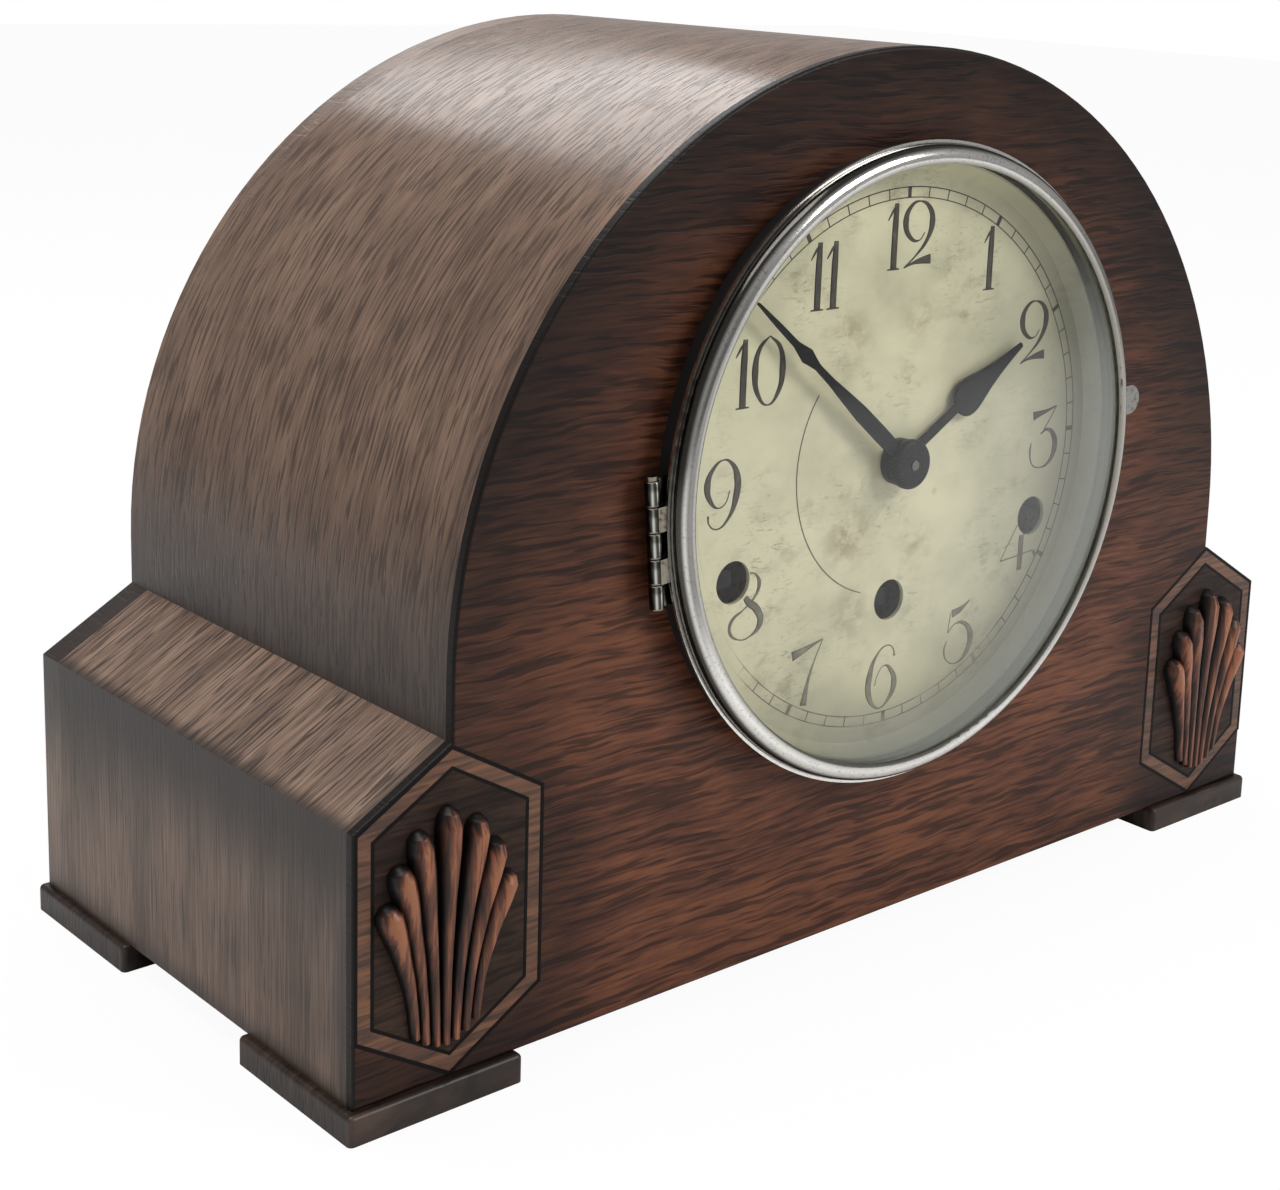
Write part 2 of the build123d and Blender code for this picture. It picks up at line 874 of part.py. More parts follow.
with BuildPart() as back_plate:
    movement_plate(back_plate_depth)
    for place in winding_places:
        disc(place, back_plate_depth, plates_back, winding_pivot_radius + running_fit, Mode.SUBTRACT)
    for place in (chime_place, anchor_place):
        disc(place, back_plate_depth, plates_back, centre_arbor_radius + running_fit, Mode.SUBTRACT)
    disc(centre_place, back_plate_depth, plates_back, pivot_radius + running_fit, Mode.SUBTRACT)
    disc((hammer_x, hammer_z), back_plate_depth, plates_back, hammer_arbor_radius, Mode.SUBTRACT)

# Pillars that space the plates, with posts that carry the movement on the front panel
with BuildPart() as plate_pillars:
    for place in pillar_places:
        disc(place, panel_thick, plates_back + rivet_head, spigot_radius)
        disc(place, panel_thick, front_plate_depth, post_radius)
        disc(place, inside_front, back_plate_depth, pillar_radius)
        disc(place, plates_back, plates_back + rivet_head, pillar_radius)

# Going train
drum_end = great_depth + great_thick + drum_length


# Spring barrel with its great wheel
def barrel(place, turn):
    wheel(place, great_depth, great_depth + great_thick, great_teeth, great_module, turn)
    disc(place, great_depth + great_thick, drum_end, drum_radius)
    disc(place, great_depth, drum_end, winding_arbor_radius + running_fit, Mode.SUBTRACT)


# Winding arbor with a square end behind the dial
def winding_arbor(place):
    disc(place, front_plate_depth, back_plate_depth, winding_arbor_radius)
    disc(place, back_plate_depth, plates_back, winding_pivot_radius)
    disc(place, inside_front + end_shake, great_depth - end_shake, collar_radius)
    disc(place, drum_end + end_shake, drum_end + end_shake + collar_thick, collar_radius)
    with BuildSketch(layer(winding_square_depth, at(place))) as square:
        Rectangle(winding_square, winding_square)
    extrude(square.sketch, amount=winding_square_depth - front_plate_depth)


with BuildPart() as time_barrel:
    barrel(time_hole, heading(time_hole, second_place))

with BuildPart() as strike_barrel:
    barrel(strike_hole, heading(strike_hole, strike_place))

with BuildPart() as chime_barrel:
    barrel(chime_hole, heading(chime_hole, chime_place))

with BuildPart() as time_winding_arbor:
    winding_arbor(time_hole)

with BuildPart() as strike_winding_arbor:
    winding_arbor(strike_hole)

with BuildPart() as chime_winding_arbor:
    winding_arbor(chime_hole)


# Pinion in mesh with a great wheel
def great_pinion(barrel_place, place):
    wheel(
        place,
        great_depth - pinion_margin,
        great_depth + great_thick + pinion_margin,
        great_leaves,
        great_module,
        facing(heading(barrel_place, place), great_leaves),
        leaf_shares,
    )


# Large second wheel, with a tooth toward the pinion it drives
def second_wheel(place, driven, depth):
    wheel(
        place,
        depth,
        depth + wheel_thick,
        second_teeth,
        second_module,
        heading(place, driven),
        spoked=True,
    )


with BuildPart() as intermediate_wheel:
    arbor(second_place)
    great_pinion(time_hole, second_place)
    second_wheel(second_place, centre_place, second_depth)

with BuildPart() as centre_wheel:
    disc(centre_place, inside_front + end_shake, back_plate_depth - end_shake, centre_arbor_radius)
    disc(centre_place, -minute_front - nut_height - arbor_tip, inside_front + end_shake, arbor_radius)
    disc(centre_place, back_plate_depth - end_shake, plates_back, pivot_radius)
    wheel(
        centre_place,
        second_depth - pinion_margin,
        second_depth + wheel_thick + pinion_margin,
        second_leaves,
        second_module,
        facing(heading(second_place, centre_place), second_leaves),
        leaf_shares,
    )
    wheel(
        centre_place,
        centre_depth,
        centre_depth + fine_thick,
        centre_teeth,
        fine_module,
        heading(centre_place, third_place),
        spoked=True,
    )

with BuildPart() as third_wheel:
    arbor(third_place, pivot_radius)
    wheel(
        third_place,
        centre_depth - pinion_margin,
        centre_depth + fine_thick + pinion_margin,
        fine_leaves,
        fine_module,
        facing(heading(centre_place, third_place), fine_leaves),
        leaf_shares,
    )
    wheel(
        third_place,
        third_depth,
        third_depth + fine_thick,
        third_teeth,
        fine_module,
        heading(third_place, escape_place),
        spoked=True,
    )

escape_shares = ((0, 1), (0.3, 0), (0.75, 0))
with BuildPart() as escape_wheel:
    arbor(escape_place, pivot_radius)
    wheel(
        escape_place,
        third_depth - pinion_margin,
        third_depth + fine_thick + pinion_margin,
        fine_leaves,
        fine_module,
        facing(heading(third_place, escape_place), fine_leaves),
        leaf_shares,
    )
    escape_points = []
    for tooth in range(escape_teeth):
        for turn_share, height_share in escape_shares:
            angle = (tooth + turn_share) * 2 * math.pi / escape_teeth
            radius = escape_root + (escape_radius - escape_root) * height_share
            escape_points.append((radius * math.cos(angle), radius * math.sin(angle)))
    with BuildSketch(layer(escape_depth, at(escape_place))):
        Polygon(*escape_points, align=None)
        with PolarLocations(escape_radius * spoke_hole_shares[0], spoke_count):
            Circle(escape_radius * spoke_hole_shares[1], mode=Mode.SUBTRACT)
    extrude(amount=-fine_thick)

# Anchor with its arbor, crutch and crutch pin
crutch_z = anchor_place[1] - crutch_drop
with BuildPart() as anchor:
    disc(anchor_place, inside_front + end_shake, cock_depth - end_shake, arbor_radius)
    disc(anchor_place, front_plate_depth, cock_depth + cock_pivot_depth - end_shake, pivot_radius)
    right_side = [(anchor_rise * x, anchor_rise * z) for x, z in anchor_shares]
    left_side = [(-x, z) for x, z in reversed(right_side[1:])]
    with BuildSketch(layer(escape_depth, at(anchor_place))):
        Polygon(*right_side, *left_side, align=None)
    extrude(amount=-fine_thick)
    with BuildSketch(layer(crutch_depth, at(anchor_place))):
        Circle(crutch_width)
        with Locations((0, -crutch_drop / 2)):
            SlotCenterToCenter(crutch_drop, crutch_width, rotation=90)
    extrude(amount=-crutch_thick)
    disc((0, crutch_z), crutch_depth, pendulum_depth + 2 * rod_thick, crutch_pin_radius)

# Cock on the back plate that carries the anchor's rear pivot and the pendulum
with BuildPart() as suspension_cock:
    with BuildSketch(layer(cock_depth, at(anchor_place))):
        Rectangle(2 * cock_half_width, 2 * cock_half_height)
    extrude(amount=-cock_thick)
    with BuildSketch(layer(plates_back, at(anchor_place))):
        with Locations((cock_foot / 2 - cock_half_width, 0), (cock_half_width - cock_foot / 2, 0)):
            Rectangle(cock_foot, 2 * cock_half_height)
    extrude(amount=plates_back - cock_depth)
    disc(anchor_place, cock_depth, cock_depth + cock_pivot_depth, pivot_radius + running_fit, Mode.SUBTRACT)
    disc(anchor_place, cock_depth + cock_thick, pendulum_depth + 2 * rod_thick, suspension_pin_radius)

# Pendulum rod hung by its eye, with a slot for the crutch pin
bob_place = (0, bob_z - dial_z)
rod_end = bob_place[1] - bob_radius - rod_tail
with BuildPart() as pendulum_rod:
    with BuildSketch(layer(pendulum_depth, at(anchor_place))):
        Circle(rod_eye_radius)
        with Locations((0, (rod_end - anchor_place[1]) / 2)):
            Rectangle(rod_width, anchor_place[1] - rod_end)
        Circle(suspension_pin_radius + running_fit, mode=Mode.SUBTRACT)
        with Locations((0, -crutch_drop)):
            SlotOverall(slot_length, 2 * (crutch_pin_radius + slot_gap), rotation=90, mode=Mode.SUBTRACT)
    extrude(amount=-rod_thick)

# Lens-shaped bob around the rod
bob_middle = pendulum_depth + rod_thick / 2
bob_half = [(bob_radius * across_share, bob_thick * rise_share) for across_share, rise_share in bob_shares]
with BuildPart() as pendulum_bob:
    with BuildSketch(section.offset(bob_place[1])):
        Polygon(
            *[(x, bob_middle - y) for x, y in bob_half],
            *[(x, bob_middle + y) for x, y in reversed(bob_half)],
            align=None,
        )
    revolve(axis=Axis((0, front_y, bob_z), (0, 1, 0)))
    with BuildSketch(layer(pendulum_depth - inlay_gap, (0, bob_z))):
        Rectangle(rod_width + 2 * inlay_gap, 2 * bob_radius + overrun)
    extrude(amount=-rod_thick - 2 * inlay_gap, mode=Mode.SUBTRACT)


# Fly with two flat vanes
def fly(place, driver):
    arbor(place, pivot_radius)
    wheel(
        place,
        strike_depth - pinion_margin,
        strike_depth + wheel_thick + pinion_margin,
        fly_leaves,
        second_module,
        facing(heading(driver, place), fly_leaves),
        leaf_shares,
    )
    disc(place, fly_depth, fly_depth + fly_length, fly_hub_radius)
    with BuildSketch(layer(fly_depth, at(place))) as vane:
        Rectangle(2 * fly_half_width, fly_thick)
    extrude(vane.sketch, amount=-fly_length)


# Striking train
with BuildPart() as strike_wheel:
    arbor(strike_place)
    great_pinion(strike_hole, strike_place)
    second_wheel(strike_place, strike_fly_place, strike_depth)

with BuildPart() as strike_fly:
    fly(strike_fly_place, strike_place)

# Chiming train, its drum behind the back plate
with BuildPart() as chime_drum:
    drum_back = hammer_depths[-1] + star_thick
    disc(chime_place, inside_front + end_shake, drum_back + arbor_overhang, arbor_radius)
    disc(chime_place, front_plate_depth, inside_front + end_shake, pivot_radius)
    disc(chime_place, back_plate_depth, plates_back + arbor_overhang, centre_arbor_radius)
    great_pinion(chime_hole, chime_place)
    second_wheel(chime_place, chime_fly_place, strike_depth)
    disc(chime_place, plates_back + arbor_overhang, drum_back, star_core_radius)
    for number, depth in enumerate(hammer_depths):
        wheel(
            chime_place,
            depth - star_thick / 2,
            depth + star_thick / 2,
            star_teeth,
            star_module,
            number * math.pi / star_teeth / hammer_count,
            leaf_shares,
        )

with BuildPart() as chime_fly:
    fly(chime_fly_place, chime_place)

# Hammer arbor on the back plate
hammer_place = (hammer_x, hammer_z)
with BuildPart() as hammer_arbor:
    disc(hammer_place, back_plate_depth, hammer_depths[-1] + hammer_hub_thick, hammer_arbor_radius)
    disc(hammer_place, plates_back, plates_back + arbor_flange_thick, hammer_hub_radius)

# Hammers, each a lever with a round head over its own rod
head_bottom = rod_z + rod_radius + head_gap


def hammer(depth):
    start, end = depth - lever_thick / 2, depth + lever_thick / 2
    x, z = at(hammer_place)
    w = lever_half_width
    tail_x, tail_z = x + tail_lean, z + tail_rise
    head_x, neck_z = x + hammer_reach, z - hammer_drop
    hub_start, hub_end = depth - hammer_hub_thick / 2, depth + hammer_hub_thick / 2
    disc(hammer_place, hub_start, hub_end, hammer_hub_radius)
    slab(((x - w, z), (x + w, z), (tail_x + w, tail_z), (tail_x - w, tail_z)), start, end)
    slab(((x, z + w), (head_x + w, neck_z + w), (head_x + w, neck_z - w), (x, z - w)), start, end)
    with BuildSketch(Plane.XY.offset(head_bottom)) as round_head:
        with Locations((head_x, front_y + depth)):
            Circle(head_radius - lever_half_width)
    extrude(round_head.sketch, amount=neck_z + w - head_bottom)
    disc(hammer_place, hub_start, hub_end, hammer_arbor_radius + running_fit, Mode.SUBTRACT)


with BuildPart() as hammer_1:
    hammer(hammer_depths[0])

with BuildPart() as hammer_2:
    hammer(hammer_depths[1])

with BuildPart() as hammer_3:
    hammer(hammer_depths[2])

with BuildPart() as hammer_4:
    hammer(hammer_depths[3])

# Iron block that holds the rods
block_front = front_y + hammer_depths[0] - block_margin
block_back = front_y + hammer_depths[-1] + block_margin
rod_places = [(block_x, front_y + depth, rod_z) for depth in hammer_depths]
with BuildPart() as rod_block:
    block_y = (block_front + block_back) / 2
    with Locations((block_x + block_width / 2, block_y, base_top + block_height / 2)):
        Box(block_width, block_back - block_front, block_height)
    fillet(rod_block.edges().filter_by(Axis.Z), block_round)
    for place in rod_places:
        with BuildSketch(Plane(origin=place, x_dir=(0, 1, 0), z_dir=(1, 0, 0))):
            Circle(rod_radius + running_fit)
        extrude(amount=rod_grip, mode=Mode.SUBTRACT)

# Chime rods, each shorter than the one before
with BuildPart() as chime_rods:
    for number, place in enumerate(rod_places):
        with BuildSketch(Plane(origin=place, x_dir=(0, 1, 0), z_dir=(1, 0, 0))):
            Circle(rod_radius)
        extrude(amount=rod_grip)
        with BuildSketch(Plane(origin=place, x_dir=(0, 1, 0), z_dir=(-1, 0, 0))):
            Circle(rod_radius)
        extrude(amount=rod_first_length - number * rod_step)

# Back door with sound holes
with BuildPart() as back_door:
    extrude(arch_area(body_back, door_radius - door_gap, door_low_z + door_gap), amount=-back_thick)
    with BuildSketch(layer(body_back, (0, arch_centre_z))):
        Circle(sound_hole_radius)
        with PolarLocations(sound_ring_radius, sound_hole_count):
            Circle(sound_hole_radius)
    extrude(amount=-back_thick, mode=Mode.SUBTRACT)

# Door hinges: leaves on the frame, straps on the door, a pin through each pair
door_knuckle = door_hinge_height / 3
pin_y = front_y + case_depth + door_pin_rise
leaf_y = front_y + case_depth + door_leaf_thick / 2


def door_knuckles(bottom, numbers, side):
    for number in numbers:
        low = bottom + number * door_knuckle + knuckle_gap / 2
        with BuildSketch(Plane.XY.offset(low)) as round_end:
            with Locations((door_radius, pin_y)):
                Circle(door_knuckle_radius)
        extrude(round_end.sketch, amount=door_knuckle - knuckle_gap)
        with BuildSketch(Plane.XY.offset(low)) as flat:
            with Locations((door_radius + side * door_leaf_width / 2, leaf_y)):
                Rectangle(door_leaf_width, door_leaf_thick)
        extrude(flat.sketch, amount=door_knuckle - knuckle_gap)
    with BuildSketch(Plane.XY.offset(bottom)) as plate:
        reach = door_leaf_width - 2 * door_knuckle_radius
        middle = 2 * door_knuckle_radius + reach / 2
        with Locations((door_radius + side * middle, leaf_y)):
            Rectangle(reach, door_leaf_thick)
    extrude(plate.sketch, amount=door_hinge_height)
    with BuildSketch(Plane.XY.offset(bottom)) as bore:
        with Locations((door_radius, pin_y)):
            Circle(door_pin_radius + pin_fit)
    extrude(bore.sketch, amount=door_hinge_height, mode=Mode.SUBTRACT)


with BuildPart() as door_hinge_leaves:
    for bottom in door_hinge_places:
        door_knuckles(bottom, (0, 2), 1)

with BuildPart() as door_hinge_straps:
    for bottom in door_hinge_places:
        door_knuckles(bottom, (1,), -1)

with BuildPart() as door_hinge_pins:
    for bottom in door_hinge_places:
        with BuildSketch(Plane.XY.offset(bottom)) as round_pin:
            with Locations((door_radius, pin_y)):
                Circle(door_pin_radius)
        extrude(round_pin.sketch, amount=door_hinge_height)

# Turned knob on the door
with BuildPart() as door_knob:
    with BuildSketch(layer(case_depth, (knob_x, arch_centre_z))):
        Circle(knob_neck_radius)
    extrude(amount=knob_radius - knob_length)
    with Locations((knob_x, front_y + case_depth + knob_length - knob_radius, arch_centre_z)):
        Sphere(knob_radius)
    split(bisect_by=layer(case_depth), keep=Keep.BOTTOM)

# Write each piece to its own file
pieces = {
    "front_panel": front_panel,
    "arch_shell": arch_shell,
    "left_shoulder_side": left_shoulder_side,
    "right_shoulder_side": right_shoulder_side,
    "left_shoulder_top": left_shoulder_top,
    "right_shoulder_top": right_shoulder_top,
    "base_board": base_board,
    "back_frame": back_frame,
    "feet": feet,
    "inlay_bands": inlay_bands,
    "left_shell_carving": left_shell_carving,
    "right_shell_carving": right_shell_carving,
    "bezel_seat": bezel_seat,
    "sight_ring": sight_ring,
    "dial_plate": dial_plate,
    "bezel_ring": bezel_ring,
    "bezel_glass": bezel_glass,
    "bezel_hinge_base": bezel_hinge_base,
    "bezel_hinge_leaf": bezel_hinge_leaf,
    "bezel_hinge_pin": bezel_hinge_pin,
    "bezel_tab": bezel_tab,
    "minute_hand": minute_hand,
    "hand_nut": hand_nut,
    "hour_hand": hour_hand,
    "cannon_pinion": cannon_pinion,
    "minute_wheel": minute_wheel,
    "hour_wheel": hour_wheel,
    "front_plate": front_plate,
    "back_plate": back_plate,
    "plate_pillars": plate_pillars,
    "time_barrel": time_barrel,
    "strike_barrel": strike_barrel,
    "chime_barrel": chime_barrel,
    "time_winding_arbor": time_winding_arbor,
    "strike_winding_arbor": strike_winding_arbor,
    "chime_winding_arbor": chime_winding_arbor,
    "intermediate_wheel": intermediate_wheel,
    "centre_wheel": centre_wheel,
    "third_wheel": third_wheel,
    "escape_wheel": escape_wheel,
    "anchor": anchor,
    "suspension_cock": suspension_cock,
    "pendulum_rod": pendulum_rod,
    "pendulum_bob": pendulum_bob,
    "strike_wheel": strike_wheel,
    "strike_fly": strike_fly,
    "chime_drum": chime_drum,
    "chime_fly": chime_fly,
    "hammer_arbor": hammer_arbor,
    "hammer_1": hammer_1,
    "hammer_2": hammer_2,
    "hammer_3": hammer_3,
    "hammer_4": hammer_4,
    "rod_block": rod_block,
    "chime_rods": chime_rods,
    "back_door": back_door,
    "door_hinge_leaves": door_hinge_leaves,
    "door_hinge_straps": door_hinge_straps,
    "door_hinge_pins": door_hinge_pins,
    "door_knob": door_knob,
}
for name, piece in pieces.items():
    piece.part.label = name
    export_step(piece.part, "parts/" + name + ".step")
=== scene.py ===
# %% [markdown]
# # A round-topped oak shelf clock
# The clock stands in a shared frame of solids: case, dial, bezel and a working movement behind the dial.
# This lesson dresses those solids with finishes and adds what no solid needs to carry: the print on the
# dial, the dark lines round the inlay, finer carving and round hinge knuckles. Lengths are in metres.

import math

import bmesh
import bpy
from mathutils import Matrix, Vector


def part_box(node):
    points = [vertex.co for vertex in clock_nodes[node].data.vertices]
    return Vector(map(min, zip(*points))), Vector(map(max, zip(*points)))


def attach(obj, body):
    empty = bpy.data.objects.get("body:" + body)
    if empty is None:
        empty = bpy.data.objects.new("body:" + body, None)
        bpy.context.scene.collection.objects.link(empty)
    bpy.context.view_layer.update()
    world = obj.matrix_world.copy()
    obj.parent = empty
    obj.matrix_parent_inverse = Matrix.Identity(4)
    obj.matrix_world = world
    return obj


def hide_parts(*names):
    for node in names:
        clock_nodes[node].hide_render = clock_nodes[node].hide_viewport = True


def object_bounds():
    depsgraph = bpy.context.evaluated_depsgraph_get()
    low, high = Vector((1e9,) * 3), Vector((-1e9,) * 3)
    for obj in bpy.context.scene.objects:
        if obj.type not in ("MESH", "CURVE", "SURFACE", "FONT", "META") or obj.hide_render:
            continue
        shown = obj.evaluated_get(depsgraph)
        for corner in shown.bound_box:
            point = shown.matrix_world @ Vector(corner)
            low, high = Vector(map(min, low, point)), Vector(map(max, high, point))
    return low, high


MM = 0.001
BLACK = (0.0, 0.0, 0.0, 1.0)
WHITE = (1.0, 1.0, 1.0, 1.0)
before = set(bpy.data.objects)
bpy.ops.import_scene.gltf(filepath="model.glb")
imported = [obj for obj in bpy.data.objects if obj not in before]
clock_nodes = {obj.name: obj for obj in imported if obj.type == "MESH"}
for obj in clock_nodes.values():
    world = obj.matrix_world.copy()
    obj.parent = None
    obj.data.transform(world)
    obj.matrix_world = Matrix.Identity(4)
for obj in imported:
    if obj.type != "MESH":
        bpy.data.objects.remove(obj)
cad_low, cad_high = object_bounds()
print("solids in the frame:", len(clock_nodes))

# %% [markdown]
# ## Places on the clock
# Every later cell needs the same few places: the front face of the case, the middle of the dial
# and the middle of the round top. They are read from the solids, so that nothing drifts away from them.

# %% Places that later cells share
front_face_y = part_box("front_panel")[0].y
dial_low, dial_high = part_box("dial_plate")
dial_face_y = dial_low.y
dial_middle = Vector((0.0, dial_face_y, (dial_low.z + dial_high.z) / 2))
panel_low, panel_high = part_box("front_panel")
half_width = panel_high.x
shoulder_reach = 23.3 * MM
arch_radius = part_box("left_shoulder_top")[0].x * -1 - shoulder_reach
arch_centre_z = panel_high.z - arch_radius
print("dial middle", [round(v, 4) for v in dial_middle], "arch radius", round(arch_radius, 4))

# %% [markdown]
# ## Camera
# The camera stands to the left of the clock and a little above it, close enough that the near foot looks
# larger than the far one. Its three axes were fitted to corners of the case, so they are written as vectors.

# %% Camera
camera_data = bpy.data.cameras.new("clock_camera")
camera_data.lens = 61.855
camera_data.sensor_width = 36.0
camera_data.shift_x = -0.0996
camera_data.shift_y = -0.1641
camera = bpy.data.objects.new("clock_camera", camera_data)
bpy.context.scene.collection.objects.link(camera)
camera_right = Vector((0.73446, -0.67754, 0.03891)).normalized()
camera_ahead = Vector((0.66996, 0.71471, -0.20083)).normalized()
camera_up = camera_right.cross(camera_ahead).normalized()
camera_turn = Matrix((camera_right, camera_up, -camera_ahead)).transposed()
camera_place = Vector((-369.58, -414.30, 242.27)) * MM
camera.matrix_world = Matrix.Translation(camera_place) @ camera_turn.to_4x4()
bpy.context.scene.camera = camera
bpy.context.scene.view_settings.view_transform = "Standard"
print("camera at", [round(v, 3) for v in camera_place])

# %% [markdown]
# ## Writing colours and nodes
# A shader wants linear light, while a colour given here is an sRGB number from 0 to 255.
# One helper turns the second into the first. A second starts a finish, and the others wire sums, ramps,
# noise and mixtures, so that each finish below reads as a short recipe.


# %% Helpers for finishes
def tint(red, green, blue):
    linear = []
    for part in (red, green, blue):
        share = part / 255
        linear.append(share / 12.92 if share <= 0.04045 else ((share + 0.055) / 1.055) ** 2.4)
    return (*linear, 1.0)


def start_finish(name, roughness, metallic=0.0):
    finish = bpy.data.materials.new(name)
    finish.use_nodes = True
    shader = finish.node_tree.nodes["Principled BSDF"]
    shader.inputs["Roughness"].default_value = roughness
    shader.inputs["Metallic"].default_value = metallic
    return finish, finish.node_tree, shader


def feed(tree, socket, value):
    if isinstance(value, bpy.types.NodeSocket):
        tree.links.new(value, socket)
    else:
        socket.default_value = value


def sum_node(tree, operation, first, second=0.0, clamp=False):
    node = tree.nodes.new("ShaderNodeMath")
    node.operation = operation
    node.use_clamp = clamp
    feed(tree, node.inputs[0], first)
    feed(tree, node.inputs[1], second)
    return node.outputs[0]


def ramp_node(tree, value, stops):
    node = tree.nodes.new("ShaderNodeValToRGB")
    ramp = node.color_ramp
    while len(ramp.elements) < len(stops):
        ramp.elements.new(0.5)
    for element, (place, colour) in zip(ramp.elements, stops):
        element.position = place
        element.color = colour
    tree.links.new(value, node.inputs[0])
    return node.outputs[0]


def noise_node(tree, vector, stretch, detail=4.0, roughness=0.55, distortion=0.0):
    mapping = tree.nodes.new("ShaderNodeMapping")
    mapping.inputs["Scale"].default_value = stretch
    tree.links.new(vector, mapping.inputs["Vector"])
    noise = tree.nodes.new("ShaderNodeTexNoise")
    noise.inputs["Scale"].default_value = 1.0
    noise.inputs["Detail"].default_value = detail
    noise.inputs["Roughness"].default_value = roughness
    noise.inputs["Distortion"].default_value = distortion
    tree.links.new(mapping.outputs[0], noise.inputs["Vector"])
    return noise.outputs["Fac"]


def blend_node(tree, kind, share, first, second):
    node = tree.nodes.new("ShaderNodeMix")
    node.data_type = "RGBA"
    node.blend_type = kind
    feed(tree, node.inputs["Factor"], share)
    feed(tree, node.inputs["A"], first)
    feed(tree, node.inputs["B"], second)
    return node.outputs["Result"]


def dent(tree, shader, height, distance, strength=0.5):
    bump = tree.nodes.new("ShaderNodeBump")
    bump.inputs["Strength"].default_value = strength
    bump.inputs["Distance"].default_value = distance
    tree.links.new(height, bump.inputs["Height"])
    tree.links.new(bump.outputs[0], shader.inputs["Normal"])


def mix_shaders(tree, share, first, second):
    node = tree.nodes.new("ShaderNodeMixShader")
    for socket, value in zip(node.inputs, (share, first, second)):
        tree.links.new(value, socket)
    return node.outputs[0]


def show(tree, surface):
    tree.links.new(surface, tree.nodes["Material Output"].inputs["Surface"])


def dress(finish, *names):
    for name in names:
        mesh = clock_nodes[name].data
        mesh.materials.clear()
        mesh.materials.append(finish)
    print(finish.name, "on", len(names), "solids")


# %% [markdown]
# ## Which way the grain runs
# Oak shows long fibres, short dark pores along them and, where it is sawn on the quarter, wavy flecks.
# All three are noise, stretched along the board. So the first thing a board's finish needs is a pair of
# coordinates: along the grain and across it. The bent top is different: its grain follows the bend,
# so the angle round the arch, times its radius, gives the length along it.


# %% Grain coordinates
def object_axes(tree):
    place = tree.nodes.new("ShaderNodeTexCoord")
    split = tree.nodes.new("ShaderNodeSeparateXYZ")
    tree.links.new(place.outputs["Object"], split.inputs[0])
    return {"x": split.outputs[0], "y": split.outputs[1], "z": split.outputs[2]}


def grain_vector(tree, along, across, through):
    join = tree.nodes.new("ShaderNodeCombineXYZ")
    for socket, value in zip(join.inputs, (along, across, through)):
        feed(tree, socket, value)
    return join.outputs[0]


def board_grain(tree, along, across, through):
    axes = object_axes(tree)
    return grain_vector(tree, axes[along], axes[across], axes[through])


def bent_grain(tree):
    axes = object_axes(tree)
    height = sum_node(tree, "SUBTRACT", axes["z"], arch_centre_z)
    angle = sum_node(tree, "ARCTAN2", axes["x"], height)
    length = sum_node(tree, "MULTIPLY", angle, arch_radius)
    return grain_vector(tree, length, axes["y"], 0.0)


# %% Share that grows along a range, and distance from a point on the front
def share_node(tree, value, start, end, top=1.0):
    node = tree.nodes.new("ShaderNodeMapRange")
    node.interpolation_type = "SMOOTHSTEP"
    node.inputs["From Min"].default_value = start
    node.inputs["From Max"].default_value = end
    node.inputs["To Max"].default_value = top
    tree.links.new(value, node.inputs["Value"])
    return node.outputs[0]


def hypot_node(tree, first, second):
    squares = [sum_node(tree, "POWER", value, 2.0) for value in (first, second)]
    return sum_node(tree, "SQRT", sum_node(tree, "ADD", *squares))


def reach_node(tree, axes, middle_x, middle_z):
    aside = sum_node(tree, "SUBTRACT", axes["x"], middle_x)
    above = sum_node(tree, "SUBTRACT", axes["z"], middle_z)
    return hypot_node(tree, aside, above)


# %% [markdown]
# ## Oak
# One recipe makes all the oak. First the coordinates are pushed about a little, so that no line is quite
# straight. Wavy figure, fine fibres and slow patches are then added and sent through a ramp of three
# browns. Pores are one more noise, cut off sharply so that only short dashes stay, and they darken the
# colour and dent the surface. The boards differ in their browns and in how long and strong each mark is.


# %% Oak recipe
def wavy(tree, grain, reach):
    push = sum_node(tree, "SUBTRACT", noise_node(tree, grain, (36.0, 50.0, 36.0), 2.0), 0.5)
    parts = tree.nodes.new("ShaderNodeSeparateXYZ")
    tree.links.new(grain, parts.inputs[0])
    across = sum_node(tree, "ADD", parts.outputs[1], sum_node(tree, "MULTIPLY", push, reach))
    return grain_vector(tree, parts.outputs[0], across, parts.outputs[2])


grain_shares = (0.3, 0.5, 0.2)
pore_edge = 0.07


def oak_colour(
    tree, grain, browns, wave, figure_stretch, fibre_stretch, pore_stretch, pore_depth, pore_width
):
    grain = wavy(tree, grain, wave)
    figure = noise_node(tree, grain, figure_stretch, 3.0, 0.55, 0.3)
    fibre = noise_node(tree, grain, fibre_stretch, 4.0, 0.6)
    patch = noise_node(tree, grain, (13.0, 22.0, 22.0), 3.0)
    height = 0.0
    for mark, mark_share in zip((figure, fibre, patch), grain_shares):
        height = sum_node(tree, "ADD", height, sum_node(tree, "MULTIPLY", mark, mark_share))
    body = ramp_node(tree, height, list(zip((0.4, 0.5, 0.6), browns)))
    dashes = noise_node(tree, grain, pore_stretch, 2.0, 0.55)
    pores = ramp_node(tree, dashes, [(pore_width - pore_edge, WHITE), (pore_width, BLACK)])
    share = sum_node(tree, "MULTIPLY", pores, pore_depth)
    darkest = tuple(part * 0.45 for part in browns[0][:3]) + (1.0,)
    return blend_node(tree, "MIX", share, body, darkest), sum_node(tree, "SUBTRACT", 1.0, pores)


